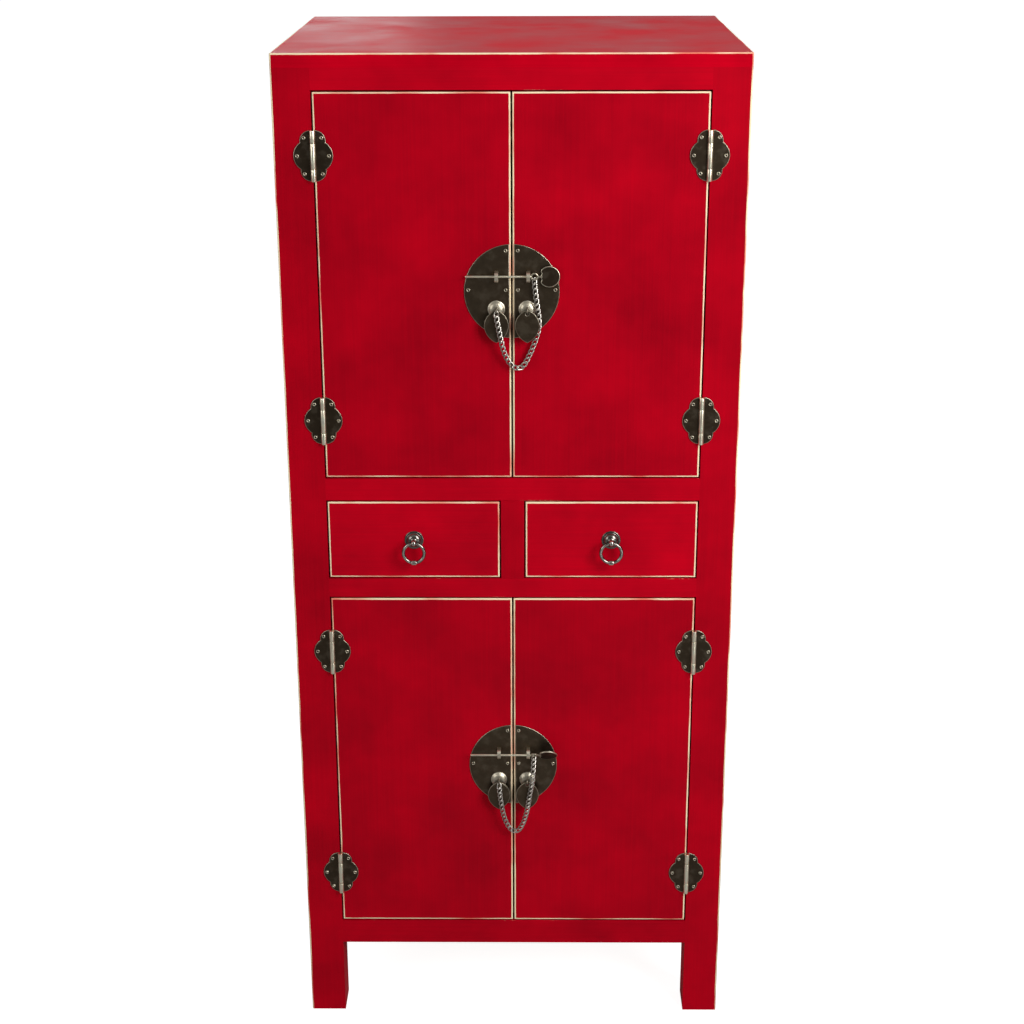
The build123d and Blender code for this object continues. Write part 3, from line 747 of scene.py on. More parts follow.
def sheet_from_outline(bm, thickness, rim, rubbing):
    """Fill the outline, thicken it towards the viewer, and ease and rub its front rim."""
    bmesh.ops.remove_doubles(bm, verts=bm.verts, dist=OUTLINE_JOIN)
    bmesh.ops.triangle_fill(bm, use_beauty=True, use_dissolve=True, edges=bm.edges[:])
    extrude(bm, bm.faces[:], (0, -thickness, 0))
    bmesh.ops.recalc_face_normals(bm, faces=bm.faces)
    ahead = -0.9 * thickness
    rims = [
        edge
        for edge in bm.edges
        if all(v.co.y < ahead for v in edge.verts) and edge.calc_face_angle(0) > RIM_ANGLE
    ]
    eased = ease(bm, rims, rim, segments=2)
    set_rub(bm, eased["verts"], rubbing)
    outermost = -0.99 * thickness
    flat = [f for f in bm.faces if f.normal.y < -0.99 and f.calc_center_median().y < outermost]
    bmesh.ops.inset_region(bm, faces=flat, thickness=rim, use_even_offset=True, use_boundary=True)
    set_rub(bm, {v for f in flat for v in f.verts}, 0.0)
    shade_smooth(eased["faces"])


print("the ends of an outline are joined when they lie within", in_mm(OUTLINE_JOIN), "mm")

# %% [markdown]
# ## Nails
# Each leaf and plate is held by small round-headed brass nails. A flattened sphere would do for a
# head, but a real one has a rim round a dimple, which is a dark dot even when seen from far. So a
# profile of a few points is spun once round. A nail could be an object of its own, but there are
# dozens, so each is put into the bmesh of the leaf or plate that it holds.

# %% Spun parts and joined parts
SPIN_JOIN = mm(0.01)


def spin_profile(profile, steps):
    """Spin a profile, in mm as radius and distance out, about an axis that faces the viewer."""
    part = new_bmesh()
    verts = [part.verts.new((mm(radius), -mm(out), 0)) for radius, out in profile]
    edges = [part.edges.new(pair) for pair in zip(verts, verts[1:])]
    bmesh.ops.spin(
        part,
        geom=verts + edges,
        cent=(0, 0, 0),
        axis=(0, 1, 0),
        angle=math.tau,
        steps=steps,
        use_merge=True,
        use_duplicate=False,
    )
    bmesh.ops.remove_doubles(part, verts=part.verts, dist=SPIN_JOIN)
    shade_smooth(part.faces)
    return part


def add_part(bm, part, matrix, rub=None):
    """Put another bmesh into this one, moved by a matrix."""
    if rub is not None:
        set_rub(part, part.verts, rub)
    bmesh.ops.recalc_face_normals(part, faces=part.faces)
    bmesh.ops.transform(part, matrix=matrix, verts=part.verts)
    mesh = bpy.data.meshes.new("part")
    part.to_mesh(mesh)
    part.free()
    bm.from_mesh(mesh)
    bpy.data.meshes.remove(mesh)


print("the seam of a spun part is closed within", in_mm(SPIN_JOIN), "mm")

# %% [markdown]
# ## The nail head
# The profile starts in the dimple, rises over the rim and comes down to the plate. The head is
# half bright from cloths that pass over it. Its dimple is painted dark as shade, so rub is set below 0
# there.

# %% Nail
NAIL_HEAD = [(0, 0.1), (0.95, 0.1), (1.05, 0.9), (1.45, 1.35), (2.0, 1.3), (2.5, 0.7), (2.65, 0.0)]
NAIL_HOLLOW = mm(1.0)
NAIL_WEAR = 0.55
SHADED_DIMPLE_RUB = -1.0


def nail(bm, x, out, z):
    """One nail head, seated on a plate at that distance out."""
    part = spin_profile(NAIL_HEAD, steps=18)
    set_rub(part, part.verts, NAIL_WEAR)
    # the dimple is painted dark: painted shade in the hollow
    set_rub(part, [v for v in part.verts if v.co.xz.length < NAIL_HOLLOW], SHADED_DIMPLE_RUB)
    add_part(bm, part, Matrix.Translation((x, -out, z)))


print("a nail head is", 2 * NAIL_HEAD[-1][0], "mm across")

# %% [markdown]
# ## A butterfly hinge's leaf
# A hinge is two scalloped leaves about a barrel, like a butterfly's wings. Half a leaf could be
# drawn and mirrored, but three arcs draw the whole of it just as shortly. The barrel is a row of
# short cylinders, the knuckles. It is proud of the leaves, and use has kept it bright, so it is
# fully rubbed.

# %% One hinge leaf
HINGE_HALF = mm(32.5)
CROWN = mm(3.0)
NOTCH = (mm(16.4), mm(17.0))
REACH = mm(25.4)
LOBE = mm(4.6)
LEAF = mm(1.4)
KNUCKLE = mm(3.4)
KNUCKLE_RIM = mm(0.35)
BARREL_OUT = mm(3.7)
HINGE_NAILS = [(mm(11.5), mm(23)), (mm(20.5), 0), (mm(11.5), -mm(23))]


def barrel(foot, head):
    """One knuckle of the barrel, upright on the hinge's axis."""
    part = new_bmesh()
    bmesh.ops.create_cone(
        part,
        cap_ends=True,
        segments=28,
        radius1=KNUCKLE,
        radius2=KNUCKLE,
        depth=head - foot,
        matrix=Matrix.Translation((0, -BARREL_OUT, (foot + head) / 2)),
    )
    rims = [e for e in part.edges if abs(e.verts[0].co.z - e.verts[1].co.z) < SAME_PLACE]
    ease(part, rims, KNUCKLE_RIM, segments=2)
    shade_smooth(f for f in part.faces if abs(f.normal.z) < 0.9)
    return part


def hinge_leaf(knuckles):
    """A leaf to the right of the hinge's axis, with its knuckles and nails."""
    bm = new_bmesh()
    low_notch = (NOTCH[0], -NOTCH[1])
    arc(bm, NOTCH, (CROWN, HINGE_HALF), -LOBE, 12)
    arc(bm, low_notch, NOTCH, -(REACH - NOTCH[0]), 18)
    arc(bm, (CROWN, -HINGE_HALF), low_notch, -LOBE, 12)
    straight(bm, (CROWN, HINGE_HALF), (0, HINGE_HALF), (0, -HINGE_HALF), (CROWN, -HINGE_HALF))
    sheet_from_outline(bm, LEAF, rim=mm(0.5), rubbing=0.4)
    for foot, head in knuckles:
        add_part(bm, barrel(foot, head), Matrix.Identity(4), rub=1.0)
    for x, z in HINGE_NAILS:
        nail(bm, x, LEAF, z)
    return bm


print("a hinge is", in_mm(2 * HINGE_HALF), "mm tall and", in_mm(2 * REACH), "mm wide")

# %% [markdown]
# ## Hanging the hinges
# Each hinge has one leaf on the post and one on the door, and they part when the door turns. So
# all the post's leaves make one piece and each door's leaves another, as in the construction
# model. The frame's leaf carries the two end knuckles and the door's leaf the middle one, with a
# fine gap between them. One leaf is drawn, and mirrored for the other three places.

# %% Hang the hinges
WAY = {"left": -1, "right": 1}
OUTWARDS, INWARDS = 1, -1
KNUCKLE_HALF = HINGE_HALF / 2
KNUCKLE_GAP = mm(0.4)
HINGE_X = mm(253)
HINGE_Z = {"lower": (mm(237), mm(591)), "upper": (mm(929), mm(1282))}
middle = [(-KNUCKLE_HALF, KNUCKLE_HALF)]
ends = [(-HINGE_HALF, -KNUCKLE_HALF - KNUCKLE_GAP), (KNUCKLE_HALF + KNUCKLE_GAP, HINGE_HALF)]


def hang_leaves(node, side, heights, knuckles, towards, body):
    """All the leaves of one node, on a post outwards of the hinge or on a door inwards of it."""
    bm = new_bmesh()
    for z in heights:
        part = hinge_leaf(knuckles)
        bmesh.ops.scale(part, vec=(WAY[side] * towards, 1, 1), verts=part.verts)
        add_part(bm, part, Matrix.Translation((WAY[side] * HINGE_X, FRONT, z)))
    make_piece(f"brass_{node}", bm, body, hinge_brass, [node])


for side in ("left", "right"):
    heights = HINGE_Z["lower"] + HINGE_Z["upper"]
    hang_leaves(f"{side}_hinge_frame_leaves", side, heights, ends, OUTWARDS, "carcass")
    for pair in ("upper", "lower"):
        door = f"{pair}_{side}_door"
        hang_leaves(f"{door}_hinge_leaves", side, HINGE_Z[pair], middle, INWARDS, door)

# %% [markdown]
# ## Lock plates
# One round plate covers the meeting line of each pair of doors, sawn in two so that the doors can
# open. A whole disc could be cut in halves with a boolean, but a half is only one straight edge
# and one arc, so it is drawn as that. Everything on a lock is drawn about the lock's centre, for
# the right-hand door, and mirrored for the left one.

# %% Lock plates
LOCK_Z = {"upper": mm(1105.5), "lower": mm(414)}
PLATE_RADIUS = mm(62.5)
PLATE = mm(1.2)
PLATE_EDGE = mm(3.2)
PLATE_NAILS = [(mm(8), mm(54)), (mm(8), mm(2)), (mm(57), mm(2))]
LOCK_HALVES = [(pair, side) for pair in LOCK_Z for side in ("left", "right")]
plate_end = math.sqrt(PLATE_RADIUS**2 - PLATE_EDGE**2)


def at_lock(bm, pair, side):
    """Move what was drawn about a lock's centre to its own half of its own lock."""
    bmesh.ops.scale(bm, vec=(WAY[side], 1, 1), verts=bm.verts)
    bmesh.ops.translate(bm, vec=(0, FRONT, LOCK_Z[pair]), verts=bm.verts)
    return bm


for pair, side in LOCK_HALVES:
    bm = new_bmesh()
    foot, head = (PLATE_EDGE, -plate_end), (PLATE_EDGE, plate_end)
    arc(bm, foot, head, -(PLATE_RADIUS - PLATE_EDGE), 72)
    straight(bm, foot, head)
    sheet_from_outline(bm, PLATE, rim=mm(0.5), rubbing=0.4)
    for x, z in PLATE_NAILS:
        nail(bm, x, PLATE, z)
    door, node = f"{pair}_{side}_door", f"{pair}_{side}_lock_plate"
    make_piece(f"brass_{node}", at_lock(bm, pair, side), door, sheet_brass, [node])

# %% [markdown]
# ## Wire eyes
# Round wire is bent into the eyes of the locks and bolts, the drawer rings and every chain link. A
# torus could be added ready-made in the editor, but bmesh has none. A small circle is the section
# of the wire, and spinning it once round gives the ring. The full spin merges its last step with
# its first, which closes the seam.

# %% Wire helper
def wire_ring(radius, wire, axis, steps=28, sides=12):
    """A ring of round wire about the named axis."""
    part = new_bmesh()
    quarter = math.pi / 2
    section = Matrix.Translation((radius, 0, 0)) @ Matrix.Rotation(quarter, 4, "X")
    bmesh.ops.create_circle(part, segments=sides, radius=wire, matrix=section)
    bmesh.ops.spin(
        part,
        geom=part.verts[:] + part.edges[:],
        cent=(0, 0, 0),
        axis=(0, 0, 1),
        angle=math.tau,
        steps=steps,
        use_merge=True,
        use_duplicate=False,
    )
    bmesh.ops.remove_doubles(part, verts=part.verts, dist=SPIN_JOIN)
    if axis != "Z":
        turn = Matrix.Rotation(quarter, 4, "Y" if axis == "X" else "X")
        bmesh.ops.transform(part, matrix=turn, verts=part.verts)
    shade_smooth(part.faces)
    return part


trial = wire_ring(mm(4), mm(1), "Z")
print("an eye has", len(trial.faces), "faces")
trial.free()

# %% [markdown]
# ## Staples
# A staple is a flat strap bent over the bolt, with its two feet on the plate. It could be a curve
# with a rectangular bevel object. Extruding and spinning follows the smith's own steps: a small
# rectangle is pushed up as one leg, spun through half a turn, and pushed down as the other.

# %% Staple
STAPLE_X = {"left": mm(20.0), "right": mm(21.6)}
STAPLE_WIDTH = mm(4.8)
STRAP = mm(1.4)
STAPLE_HALF = mm(6.3)
STAPLE_REACH = mm(14.8)


def staple():
    """A strap bent over the bolt, its two feet on the plate."""
    part = new_bmesh()
    bmesh.ops.create_grid(part, x_segments=1, y_segments=1, size=0.5)
    bmesh.ops.scale(part, vec=(STAPLE_WIDTH, STRAP, 1), verts=part.verts)
    stand = Matrix.Translation((0, -PLATE, -STAPLE_HALF)) @ Matrix.Rotation(math.pi / 2, 4, "X")
    bmesh.ops.transform(part, matrix=stand, verts=part.verts)
    bend = STAPLE_REACH - STRAP / 2 - STAPLE_HALF
    end = extrude(part, part.faces[:], (0, PLATE - bend, 0))
    half_turn = bmesh.ops.spin(
        part,
        geom=end,
        cent=(0, -bend, 0),
        axis=(1, 0, 0),
        angle=-math.pi,
        steps=12,
        use_duplicate=False,
    )
    extrude(part, only(BMFace, half_turn["geom_last"]), (0, bend - PLATE, 0))
    return part


print("a staple reaches", in_mm(STAPLE_REACH), "mm out from the door")

# %% [markdown]
# ## Bosses with their eyes
# Each half of a lock has a beaten dome, with a wire eye for its leaf pull. The dome is not quite a
# ball: it has a foot, a step, and a crown that flattens. So it is a spun profile like the nail.
# Boss, eye and staple are riveted to one plate and never part, so they make one piece.

# %% Lock fittings
BOSS_X, BOSS_DOWN = mm(20.3), mm(23.5)
BOSS_PROFILE = [
    (11.5, 1.2), (11.5, 1.7), (11.1, 2.0), (10.4, 2.2), (9.6, 3.3), (8.2, 4.5), (6.2, 5.4),
    (3.4, 5.95), (0, 6.1),
]
EYE_OUT = mm(11)
EYE_RADIUS = mm(4)
EYE_WIRE = mm(1)
BOLT_RISE = mm(20.5)

for pair, side in LOCK_HALVES:
    bm = new_bmesh()
    on_boss = Matrix.Translation((BOSS_X, 0, -BOSS_DOWN))
    add_part(bm, spin_profile(BOSS_PROFILE, steps=40), on_boss, rub=0.8)
    on_eye = on_boss @ Matrix.Translation((0, -EYE_OUT, 0))
    add_part(bm, wire_ring(EYE_RADIUS, EYE_WIRE, "X"), on_eye, rub=0.2)
    add_part(bm, staple(), Matrix.Translation((STAPLE_X[side], 0, BOLT_RISE)), rub=1.0)
    door, node = f"{pair}_{side}_door", f"{pair}_{side}_lock_fittings"
    make_piece(f"brass_{node}", at_lock(bm, pair, side), door, boss_brass, [node])

# %% [markdown]
# ## Leaf pulls
# A pull is a pointed oval of sheet that hangs from the eye by a hole near its top. The hole could
# be cut with a boolean. But when a fill is given two loops, one inside the other, it leaves the
# inner one open, so a circle in the outline is enough. Two arcs make each side of the leaf.

# %% Leaf pulls
NECK = (mm(3.6), -mm(0.2))
WIDEST = (mm(16.2), -mm(21.5))
TIP = (0, -mm(43))
PULL_BULGE = mm(3.6)
PULL = mm(2)
HOLE_RADIUS = mm(2.3)


def leaf_pull():
    """The pull with its eye at the origin, facing the viewer."""
    part = new_bmesh()
    for way in (1, -1):
        neck, widest = (way * NECK[0], NECK[1]), (way * WIDEST[0], WIDEST[1])
        arc(part, neck, widest, way * PULL_BULGE, 14)
        arc(part, widest, TIP, way * PULL_BULGE, 14)
    straight(part, (-NECK[0], NECK[1]), NECK)
    hole = Matrix.Translation((0, 0, -EYE_RADIUS)) @ Matrix.Rotation(math.pi / 2, 4, "X")
    bmesh.ops.create_circle(part, segments=16, radius=HOLE_RADIUS, matrix=hole)
    sheet_from_outline(part, PULL, rim=mm(0.6), rubbing=0.3)
    return part


for pair, side in LOCK_HALVES:
    bm = new_bmesh()
    in_eye = Matrix.Translation((BOSS_X, PULL / 2 - EYE_OUT, -BOSS_DOWN))
    add_part(bm, leaf_pull(), in_eye)
    node = f"{pair}_{side}_leaf_pull"
    make_piece(f"brass_{node}", at_lock(bm, pair, side), node, sheet_brass, [node])

# %% [markdown]
# ## Bolts
# A bolt is a long pin that slides through the staples of both doors. It ends in an eye for the
# chain and a paddle of sheet for the fingers, with three small lobes at its inner side. The pin
# and the neck are cylinders, for which create_cone serves with its two radii. The paddle is one
# more outline of arcs: three for the lobes and two for the round side.

# %% Bolt parts
BOLT_RADIUS = mm(1.5)
BOLT_TIP = -mm(60.7)
BOLT_RIM = mm(0.6)
BOLT_EYE_X = mm(29.6)
BOLT_EYE = mm(4.2)
BOLT_EYE_WIRE = mm(1.2)
NECK_RADII = (mm(1.0), mm(1.6))
SOLDERED = mm(1)  # how far the neck runs over the paddle
PADDLE_X = mm(49)
PADDLE_RADIUS = mm(14)
PADDLE_LOBE = mm(4.4)
PADDLE_BULGE = mm(1.2)
PADDLE = mm(2)
shoulder = PADDLE_RADIUS * math.sin(math.radians(45))
side_bulge = PADDLE_RADIUS * (1 - math.cos(math.radians(67.5)))
inner_x, outer_x = PADDLE_X - shoulder, PADDLE_X + PADDLE_RADIUS


def rod(start, end, radius1, radius2, sides):
    """A round rod along X, from one radius to the other."""
    part = new_bmesh()
    lying = Matrix.Translation(((end + start) / 2, 0, 0)) @ Matrix.Rotation(math.pi / 2, 4, "Y")
    bmesh.ops.create_cone(
        part,
        cap_ends=True,
        segments=sides,
        radius1=radius1,
        radius2=radius2,
        depth=end - start,
        matrix=lying,
    )
    return part


def paddle():
    """A disc of sheet whose inner side is cut to three lobes."""
    part = new_bmesh()
    arc(part, (inner_x, -PADDLE_LOBE), (inner_x, -shoulder), -PADDLE_BULGE, 6)
    arc(part, (inner_x, PADDLE_LOBE), (inner_x, -PADDLE_LOBE), -PADDLE_BULGE, 8)
    arc(part, (inner_x, shoulder), (inner_x, PADDLE_LOBE), -PADDLE_BULGE, 6)
    arc(part, (inner_x, -shoulder), (outer_x, 0), -side_bulge, 16)
    arc(part, (outer_x, 0), (inner_x, shoulder), -side_bulge, 16)
    sheet_from_outline(part, PADDLE, rim=mm(0.7), rubbing=0.7)
    return part


print("a bolt is", in_mm(outer_x - BOLT_TIP), "mm long")

# %% [markdown]
# ## Bolts in their staples
# Pin, eye, neck and paddle could each be a piece, but they are soldered together and slide as one.
# The bolt is drawn lying along X with its axis through the origin, so that it can be turned about
# its own pin before it is moved. That is how the lower bolt gets its leaning paddle.

# %% Bolts
BOLT_OUT = {"upper": mm(5.0), "lower": mm(11.8)}
BOLT_LEAN = {"upper": 0.0, "lower": math.radians(42)}


def bolt():
    """The bolt along X, its axis through the origin."""
    bm = new_bmesh()
    pin = rod(BOLT_TIP, BOLT_EYE_X - BOLT_EYE, BOLT_RADIUS, BOLT_RADIUS, sides=20)
    rims = [e for e in pin.edges if abs(e.verts[0].co.x - e.verts[1].co.x) < SAME_PLACE]
    ease(pin, rims, BOLT_RIM, segments=3)
    shade_smooth(f for f in pin.faces if abs(f.normal.x) < 0.95)
    add_part(bm, pin, Matrix.Identity(4), rub=1.0)
    eye = wire_ring(BOLT_EYE, BOLT_EYE_WIRE, "Y")
    add_part(bm, eye, Matrix.Translation((BOLT_EYE_X, 0, 0)), rub=0.5)
    add_part(bm, paddle(), Matrix.Translation((0, PADDLE / 2, 0)))
    neck = rod(BOLT_EYE_X + BOLT_EYE, inner_x + SOLDERED, *NECK_RADII, sides=16)
    add_part(bm, neck, Matrix.Identity(4), rub=0.5)
    return bm


for pair, lock_z in LOCK_Z.items():
    node = f"{pair}_lock_bolt"
    bm = bolt()
    in_staples = Matrix.Translation((0, FRONT - BOLT_OUT[pair], lock_z + BOLT_RISE))
    lean = Matrix.Rotation(BOLT_LEAN[pair], 4, "X")
    bmesh.ops.transform(bm, matrix=in_staples @ lean, verts=bm.verts)
    make_piece(f"brass_{node}", bm, node, hinge_brass, [node])

# %% [markdown]
# ## One chain link
# Each chain is a curb chain: oval links of round wire, twisted by an eighth of a turn so that the
# chain lies flat. A link is the wire ring again, pulled long in its middle and then twisted about
# its length. A Simple Deform modifier could twist it, but the links are all joined into one piece,
# so the twist belongs in the mesh. The wire is rubbed bright on its two flat sides.

# %% Chain link
LINK_LENGTH = mm(11.4)
LINK_WIDTH = mm(7.4)
LINK_WIRE = mm(1.1)
LINK_TWIST = math.radians(45)
LINK_SLANT = math.radians(12)
LINK_BEND = mm(1.2)  # nearer the middle than this, the wire is pulled straight
LINK_WEAR = 0.75
DARK_FLANK = 0.1  # up to this share of its height, the wire stays dark


def curb_link():
    """One link, long in X and flat in XY, twisted about X."""
    part = wire_ring(LINK_WIDTH / 2 - LINK_WIRE, LINK_WIRE, "Z", steps=16, sides=8)
    stretch = (LINK_LENGTH - LINK_WIDTH) / 2
    for vert in part.verts:
        proud = abs(vert.co.z) / LINK_WIRE - DARK_FLANK
        set_rub(part, [vert], LINK_WEAR * min(1, max(0, proud)))
        vert.co.x += math.copysign(stretch, vert.co.x) * min(1, abs(vert.co.x) / LINK_BEND)
        twist = Matrix.Rotation(LINK_TWIST * vert.co.x / (LINK_LENGTH / 2), 3, "X")
        vert.co = twist @ vert.co
    slant = Matrix.Rotation(LINK_SLANT, 3, "Z")
    bmesh.ops.rotate(part, cent=(0, 0, 0), matrix=slant, verts=part.verts)
    return part


trial = curb_link()
print("a link has", len(trial.faces), "faces")
trial.free()

# %% [markdown]
# ## Hanging the chains
# The construction model already hangs every link, and a chain could be worked out again from a
# catenary. It is surer to put each new link where the old one is. The old link's vertices tell how
# it lies: they spread most along the chain and least through the link, and those directions are
# what numpy's eigh finds in their covariance.

# %% Seats of the links
SAME_VERTEX = mm(0.001)
TOWARDS_VIEWER = Vector((0, -1, 0))


def loose_parts(bm):
    """The vertices of each connected part of a bmesh, in the order of the mesh."""
    waiting = dict.fromkeys(bm.verts)
    while waiting:
        front, part = [next(iter(waiting))], []
        while front:
            vert = front.pop()
            if vert in waiting:
                del waiting[vert]
                part.append(vert)
                front += [edge.other_vert(vert) for edge in vert.link_edges]
        yield part


def link_seats(node):
    """The place and turn of every link of a construction chain, from left to right."""
    bm = new_bmesh()
    bm.from_mesh(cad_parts[node].data)
    bmesh.ops.remove_doubles(bm, verts=bm.verts, dist=SAME_VERTEX)
    seats = []
    for part in loose_parts(bm):
        points = np.array([vert.co for vert in part])
        centre = points.mean(0)
        spread, axes = np.linalg.eigh(np.cov((points - centre).T))
        along = Vector(axes[:, np.argmax(spread)])
        across = along.cross(TOWARDS_VIEWER).normalized()
        seat = Matrix([along, across, along.cross(across)]).transposed().to_4x4()
        seat.translation = centre
        seats.append(seat)
    bm.free()
    return sorted(seats, key=lambda seat: tuple(seat.translation))


print("links to hang:", {pair: len(link_seats(f"{pair}_lock_chain")) for pair in LOCK_Z})

# %% [markdown]
# ## Chains that follow the bolt
# A chain hangs between a boss, which turns with the left door, and a bolt, which also slides. A
# chain of rigid bodies could be simulated for every pose, but the motion is small. So each chain
# is parted at its lowest link. The leg at the boss stays with the door. The other leg follows the
# bolt more and more, from the lowest link up to the bolt's eye.

# %% Chains
for pair in LOCK_Z:
    node = f"{pair}_lock_chain"
    seats = link_seats(node)
    lowest = min((seat.translation for seat in seats), key=lambda place: place.z)
    legs = {
        "from_boss": [seat for seat in seats if seat.translation.x <= lowest.x],
        "to_bolt": [seat for seat in seats if seat.translation.x > lowest.x],
    }
    for leg, links in legs.items():
        bm = new_bmesh()
        for seat in links:
            add_part(bm, curb_link(), seat)
        body = f"{pair}_left_door" if leg == "from_boss" else None
        piece = make_piece(f"brass_{node}_{leg}", bm, body, chain_brass, [node])
        if leg == "to_bolt":
            start = Vector((BOLT_EYE_X, FRONT, lowest.z))
            end = Vector((BOLT_EYE_X, FRONT, LOCK_Z[pair] + BOLT_RISE))
            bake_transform(piece, f"{pair}_left_door", f"{pair}_lock_bolt", start=start, end=end)
        print(node, leg, len(links), "links")

# %% [markdown]
# ## Ring pulls
# A drawer is pulled by a cast ring that hangs in a bead on a stepped rosette. Rosette, bead and the
# ring's small collar are turned shapes, so all three are spun profiles. The ring could be a spun
# profile too, but the wire helper makes it at once. Fingers polish the side of the ring that faces
# out, so rub rises steeply towards that crest. The bright crest is partly that wear and partly a
# painted highlight along the front of the wire. The wire is drawn a little thick, so that its dark
# and bright sides both show from eye distance.

# %% Ring pulls
PULL_X = mm(135)
PULL_Z = mm(758)
ROSETTE = [
    (13, 0), (13, 0.7), (12.7, 1.0), (11.0, 1.35), (10.4, 1.2), (9.8, 1.5), (9.5, 2.4), (8.6, 4.0),
    (7.2, 5.2), (5.2, 6.1), (3.6, 6.5), (3.0, 7.2), (2.6, 8.4), (2.4, 10.4),
]
BEAD = [
    (2.5, -2.4), (3.4, -2.9), (4.2, -1.6), (4.4, 0.0), (4.2, 1.6), (3.4, 2.9), (2.5, 2.4),
    (2.4, 0.0), (2.5, -2.4),
]
COLLAR = [(2.0, -3.7), (3.1, -3.5), (3.4, -2.6), (3.4, 2.6), (3.1, 3.5), (2.0, 3.7)]
RING_OUT = mm(14)
RING_RADIUS = mm(14.2)
RING_WIRE = mm(2.3)
RING_WEAR_AND_HIGHLIGHT = 0.7
CREST_SHARPNESS = 6


def bead(profile):
    """A spun bead or collar whose axis is X."""
    part = spin_profile(profile, steps=28)
    turned = Matrix.Rotation(-math.pi / 2, 4, "Z")
    bmesh.ops.transform(part, matrix=turned, verts=part.verts)
    return part


for side, way in WAY.items():
    on_front = Matrix.Translation((way * PULL_X, FRONT, PULL_Z))
    bm = new_bmesh()
    add_part(bm, spin_profile(ROSETTE, steps=40), on_front, rub=0.2)
    add_part(bm, bead(BEAD), on_front @ Matrix.Translation((0, -RING_OUT, 0)), rub=0.45)
    node = f"{side}_drawer_rosette"
    make_piece(f"brass_{node}", bm, f"{side}_drawer", cast_brass, [node])

    bm = new_bmesh()
    hanging = on_front @ Matrix.Translation((0, -RING_OUT, -RING_RADIUS))
    ring = wire_ring(RING_RADIUS, RING_WIRE, "Y", steps=56, sides=14)
    # the crest that faces the viewer turns to bright metal: partly finger polish, partly painted highlight
    for vert in ring.verts:
        towards_viewer = max(0, -vert.co.y / RING_WIRE)
        set_rub(ring, [vert], RING_WEAR_AND_HIGHLIGHT * towards_viewer**CREST_SHARPNESS)
    add_part(bm, ring, hanging)
    add_part(bm, bead(COLLAR), hanging @ Matrix.Translation((0, 0, -RING_RADIUS)), rub=0.6)
    node = f"{side}_drawer_ring"
    make_piece(f"brass_{node}", bm, node, cast_brass, [node])

# %% [markdown]
# ## Finishes for the rest
# Floors, shelves, panels and drawer boxes are plain boards inside and behind the cabinet. They
# could be rebuilt as the others are, but their construction shape already is their real shape, so
# they only need their finish, with its grain or brush marks along the board.

# %% Construction nodes
FINISHES = {
    upright_lacquer: ["left_side_panel", "right_side_panel"],
    side_lacquer: ["side_rails"],
    shelf_wood: ["lower_floor", "drawer_deck", "upper_floor", "lower_shelf", "upper_shelf"],
    drawer_wood: ["drawer_guides", "board_cleats"]
    + [f"{side}_drawer_{part}" for side in WAY for part in ("sides", "back", "bottom")],
    back_wood: ["back_panel", "rear_rails"],
}
for material, nodes in FINISHES.items():
    for node in nodes:
        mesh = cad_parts[node].data
        mesh.materials.clear()
        mesh.materials.append(material)
print("finished", sum(len(nodes) for nodes in FINISHES.values()), "construction nodes")

# %% [markdown]
# ## Floor
# The cabinet stands on a plain pale floor that should read as white and still show its shadow. A
# brighter lamp would do it, but it would bleach the lacquer. So the floor glows by itself, for the
# camera's own rays only, and the shadow shows against that. Brass mirrors the floor, and a bright
# one would make it look like tin, so in mirrored rays the floor is darker and hardly glows.

# %% Floor
FLOOR_SIDE = 60  # metres
FLOOR_GLOW = 0.9
FLOOR_GLOW_IN_METAL = 0.05
FLOOR_GREY, FLOOR_GREY_IN_METAL = 0.6, 0.3

bm = new_bmesh()
bmesh.ops.create_grid(bm, x_segments=1, y_segments=1, size=FLOOR_SIDE / 2)
floor_mesh = bpy.data.meshes.new("pale_floor")
bm.to_mesh(floor_mesh)
bm.free()
floor = bpy.data.objects.new("pale_floor", floor_mesh)
scene.collection.objects.link(floor)

floor_paint, output = new_material("matt_white_floor")
tree = floor_paint.node_tree
path = add_node(tree, "LightPath")
mirrored = add_node(
    tree,
    "Math",
    {0: path.outputs["Is Glossy Ray"], 1: path.outputs["Is Transmission Ray"]},
    operation="MAXIMUM",
).outputs[0]
in_metal = add_node(tree, "Math", {0: mirrored, 1: FLOOR_GLOW_IN_METAL}, operation="MULTIPLY")
glow = add_node(
    tree,
    "Math",
    {0: path.outputs["Is Camera Ray"], 1: FLOOR_GLOW, 2: in_metal.outputs[0]},
    operation="MULTIPLY_ADD",
)
grey = add_node(
    tree, "MapRange", {"Value": mirrored, "To Min": FLOOR_GREY, "To Max": FLOOR_GREY_IN_METAL}
)
matt = add_node(tree, "BsdfDiffuse", {"Color": grey.outputs[0]})
light_up = add_node(tree, "Emission", {"Color": (1, 1, 1, 1), "Strength": glow.outputs[0]})
both = add_node(tree, "AddShader", {0: matt.outputs[0], 1: light_up.outputs[0]})
tree.links.new(both.outputs[0], output.inputs[0])
floor_mesh.materials.append(floor_paint)
print("floor:", FLOOR_SIDE, "m square")

# %% [markdown]
# ## The room that metal mirrors
# Metal looks like metal only when it has something dark and something bright to mirror. An HDR
# picture of a room could be loaded, but a few Math nodes do for a simple one. The world lights
# the cabinet with a weak even fill. What mirrors see is another world: dark in front, a paler
# ceiling, white behind the cabinet. The camera sees plain white.

# %% World
ROOM = 0.06
CEILING = 0.32
FILL = 0.22
WHITE = (1, 1, 1, 1)
FRONT_TO_BACK = {"From Min": -0.4, "From Max": 0.4}
WALL_TO_CEILING = {"From Min": 0.3, "From Max": 0.8}

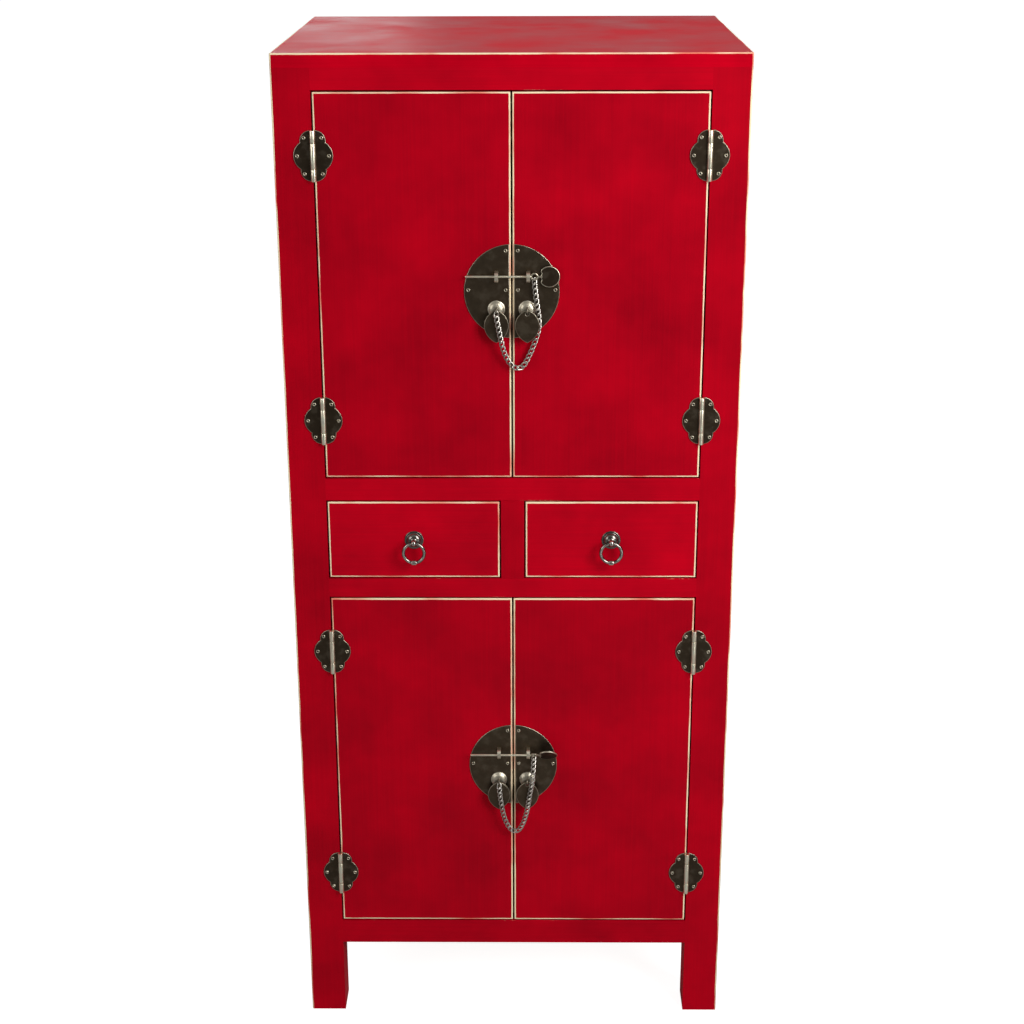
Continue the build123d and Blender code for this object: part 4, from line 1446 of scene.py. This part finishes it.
world = bpy.data.worlds.new("studio")
world.use_nodes = True
scene.world = world
tree = world.node_tree
tree.nodes.clear()
path = add_node(tree, "LightPath")
camera_ray = path.outputs["Is Camera Ray"]
seen = camera_ray
for kind in ("Is Glossy Ray", "Is Transmission Ray"):
    seen = add_node(tree, "Math", {0: seen, 1: path.outputs[kind]}, operation="MAXIMUM").outputs[0]
towards = add_node(tree, "SeparateXYZ", {0: add_node(tree, "TexCoord").outputs["Generated"]})
brightest = camera_ray
for axis, edge, bright in (("Y", FRONT_TO_BACK, 1.0), ("Z", WALL_TO_CEILING, CEILING)):
    part = add_node(
        tree, "MapRange", {**edge, "Value": towards.outputs[axis], "To Min": ROOM, "To Max": bright}
    )
    brightest = add_node(
        tree, "Math", {0: brightest, 1: part.outputs[0]}, operation="MAXIMUM"
    ).outputs[0]
fill = add_node(tree, "Background", {"Color": WHITE, "Strength": FILL})
backdrop = add_node(tree, "Background", {"Color": WHITE, "Strength": brightest})
mix = add_node(tree, "MixShader", {0: seen, 1: fill.outputs[0], 2: backdrop.outputs[0]})
add_node(tree, "OutputWorld", {"Surface": mix.outputs[0]})
print("world:", len(tree.nodes), "nodes, fill", FILL)

# %% [markdown]
# ## Lamps
# The light is that of a room by day: a wide soft source high on the right, a weaker one on the
# left. Sun and point lamps make hard shadows, so all are area lamps, each aimed at the middle of
# the cabinet. Three weak ones do one job each: the one overhead gives the top its sheen, the
# upright strip draws a line of light down the barrels and chains, and the low window behind on the
# left puts the pale gleam on the left half of the top.

# %% Lamps
LAMPS = {  # place in metres, width and height in metres, watts
    "key_right": ((1.45, -1.65, 1.9), 1.1, 1.4, 44),
    "fill_left": ((-2.4, -2.0, 1.7), 1.6, 1.6, 20),
    "overhead": ((0, 0.05, 2.55), 0.5, 0.4, 4.5),
    "strip_right": ((1.15, -1.45, 0.85), 0.12, 1.6, 3),
    "window_behind_left": ((-0.5, 1.3, 1.62), 0.6, 0.3, 2),
}
for name, (place, width, height, watts) in LAMPS.items():
    lamp_data = bpy.data.lights.new(name, "AREA")
    lamp_data.shape = "RECTANGLE"
    lamp_data.size, lamp_data.size_y = width, height
    lamp_data.energy = watts
    lamp = bpy.data.objects.new(name, lamp_data)
    aim = (Vector((0, 0, TOP / 2)) - Vector(place)).to_track_quat("-Z", "Y")
    lamp.matrix_world = Matrix.Translation(place) @ aim.to_matrix().to_4x4()
    scene.collection.objects.link(lamp)
print("lamps:", {name: lamp[-1] for name, lamp in LAMPS.items()}, "watts")
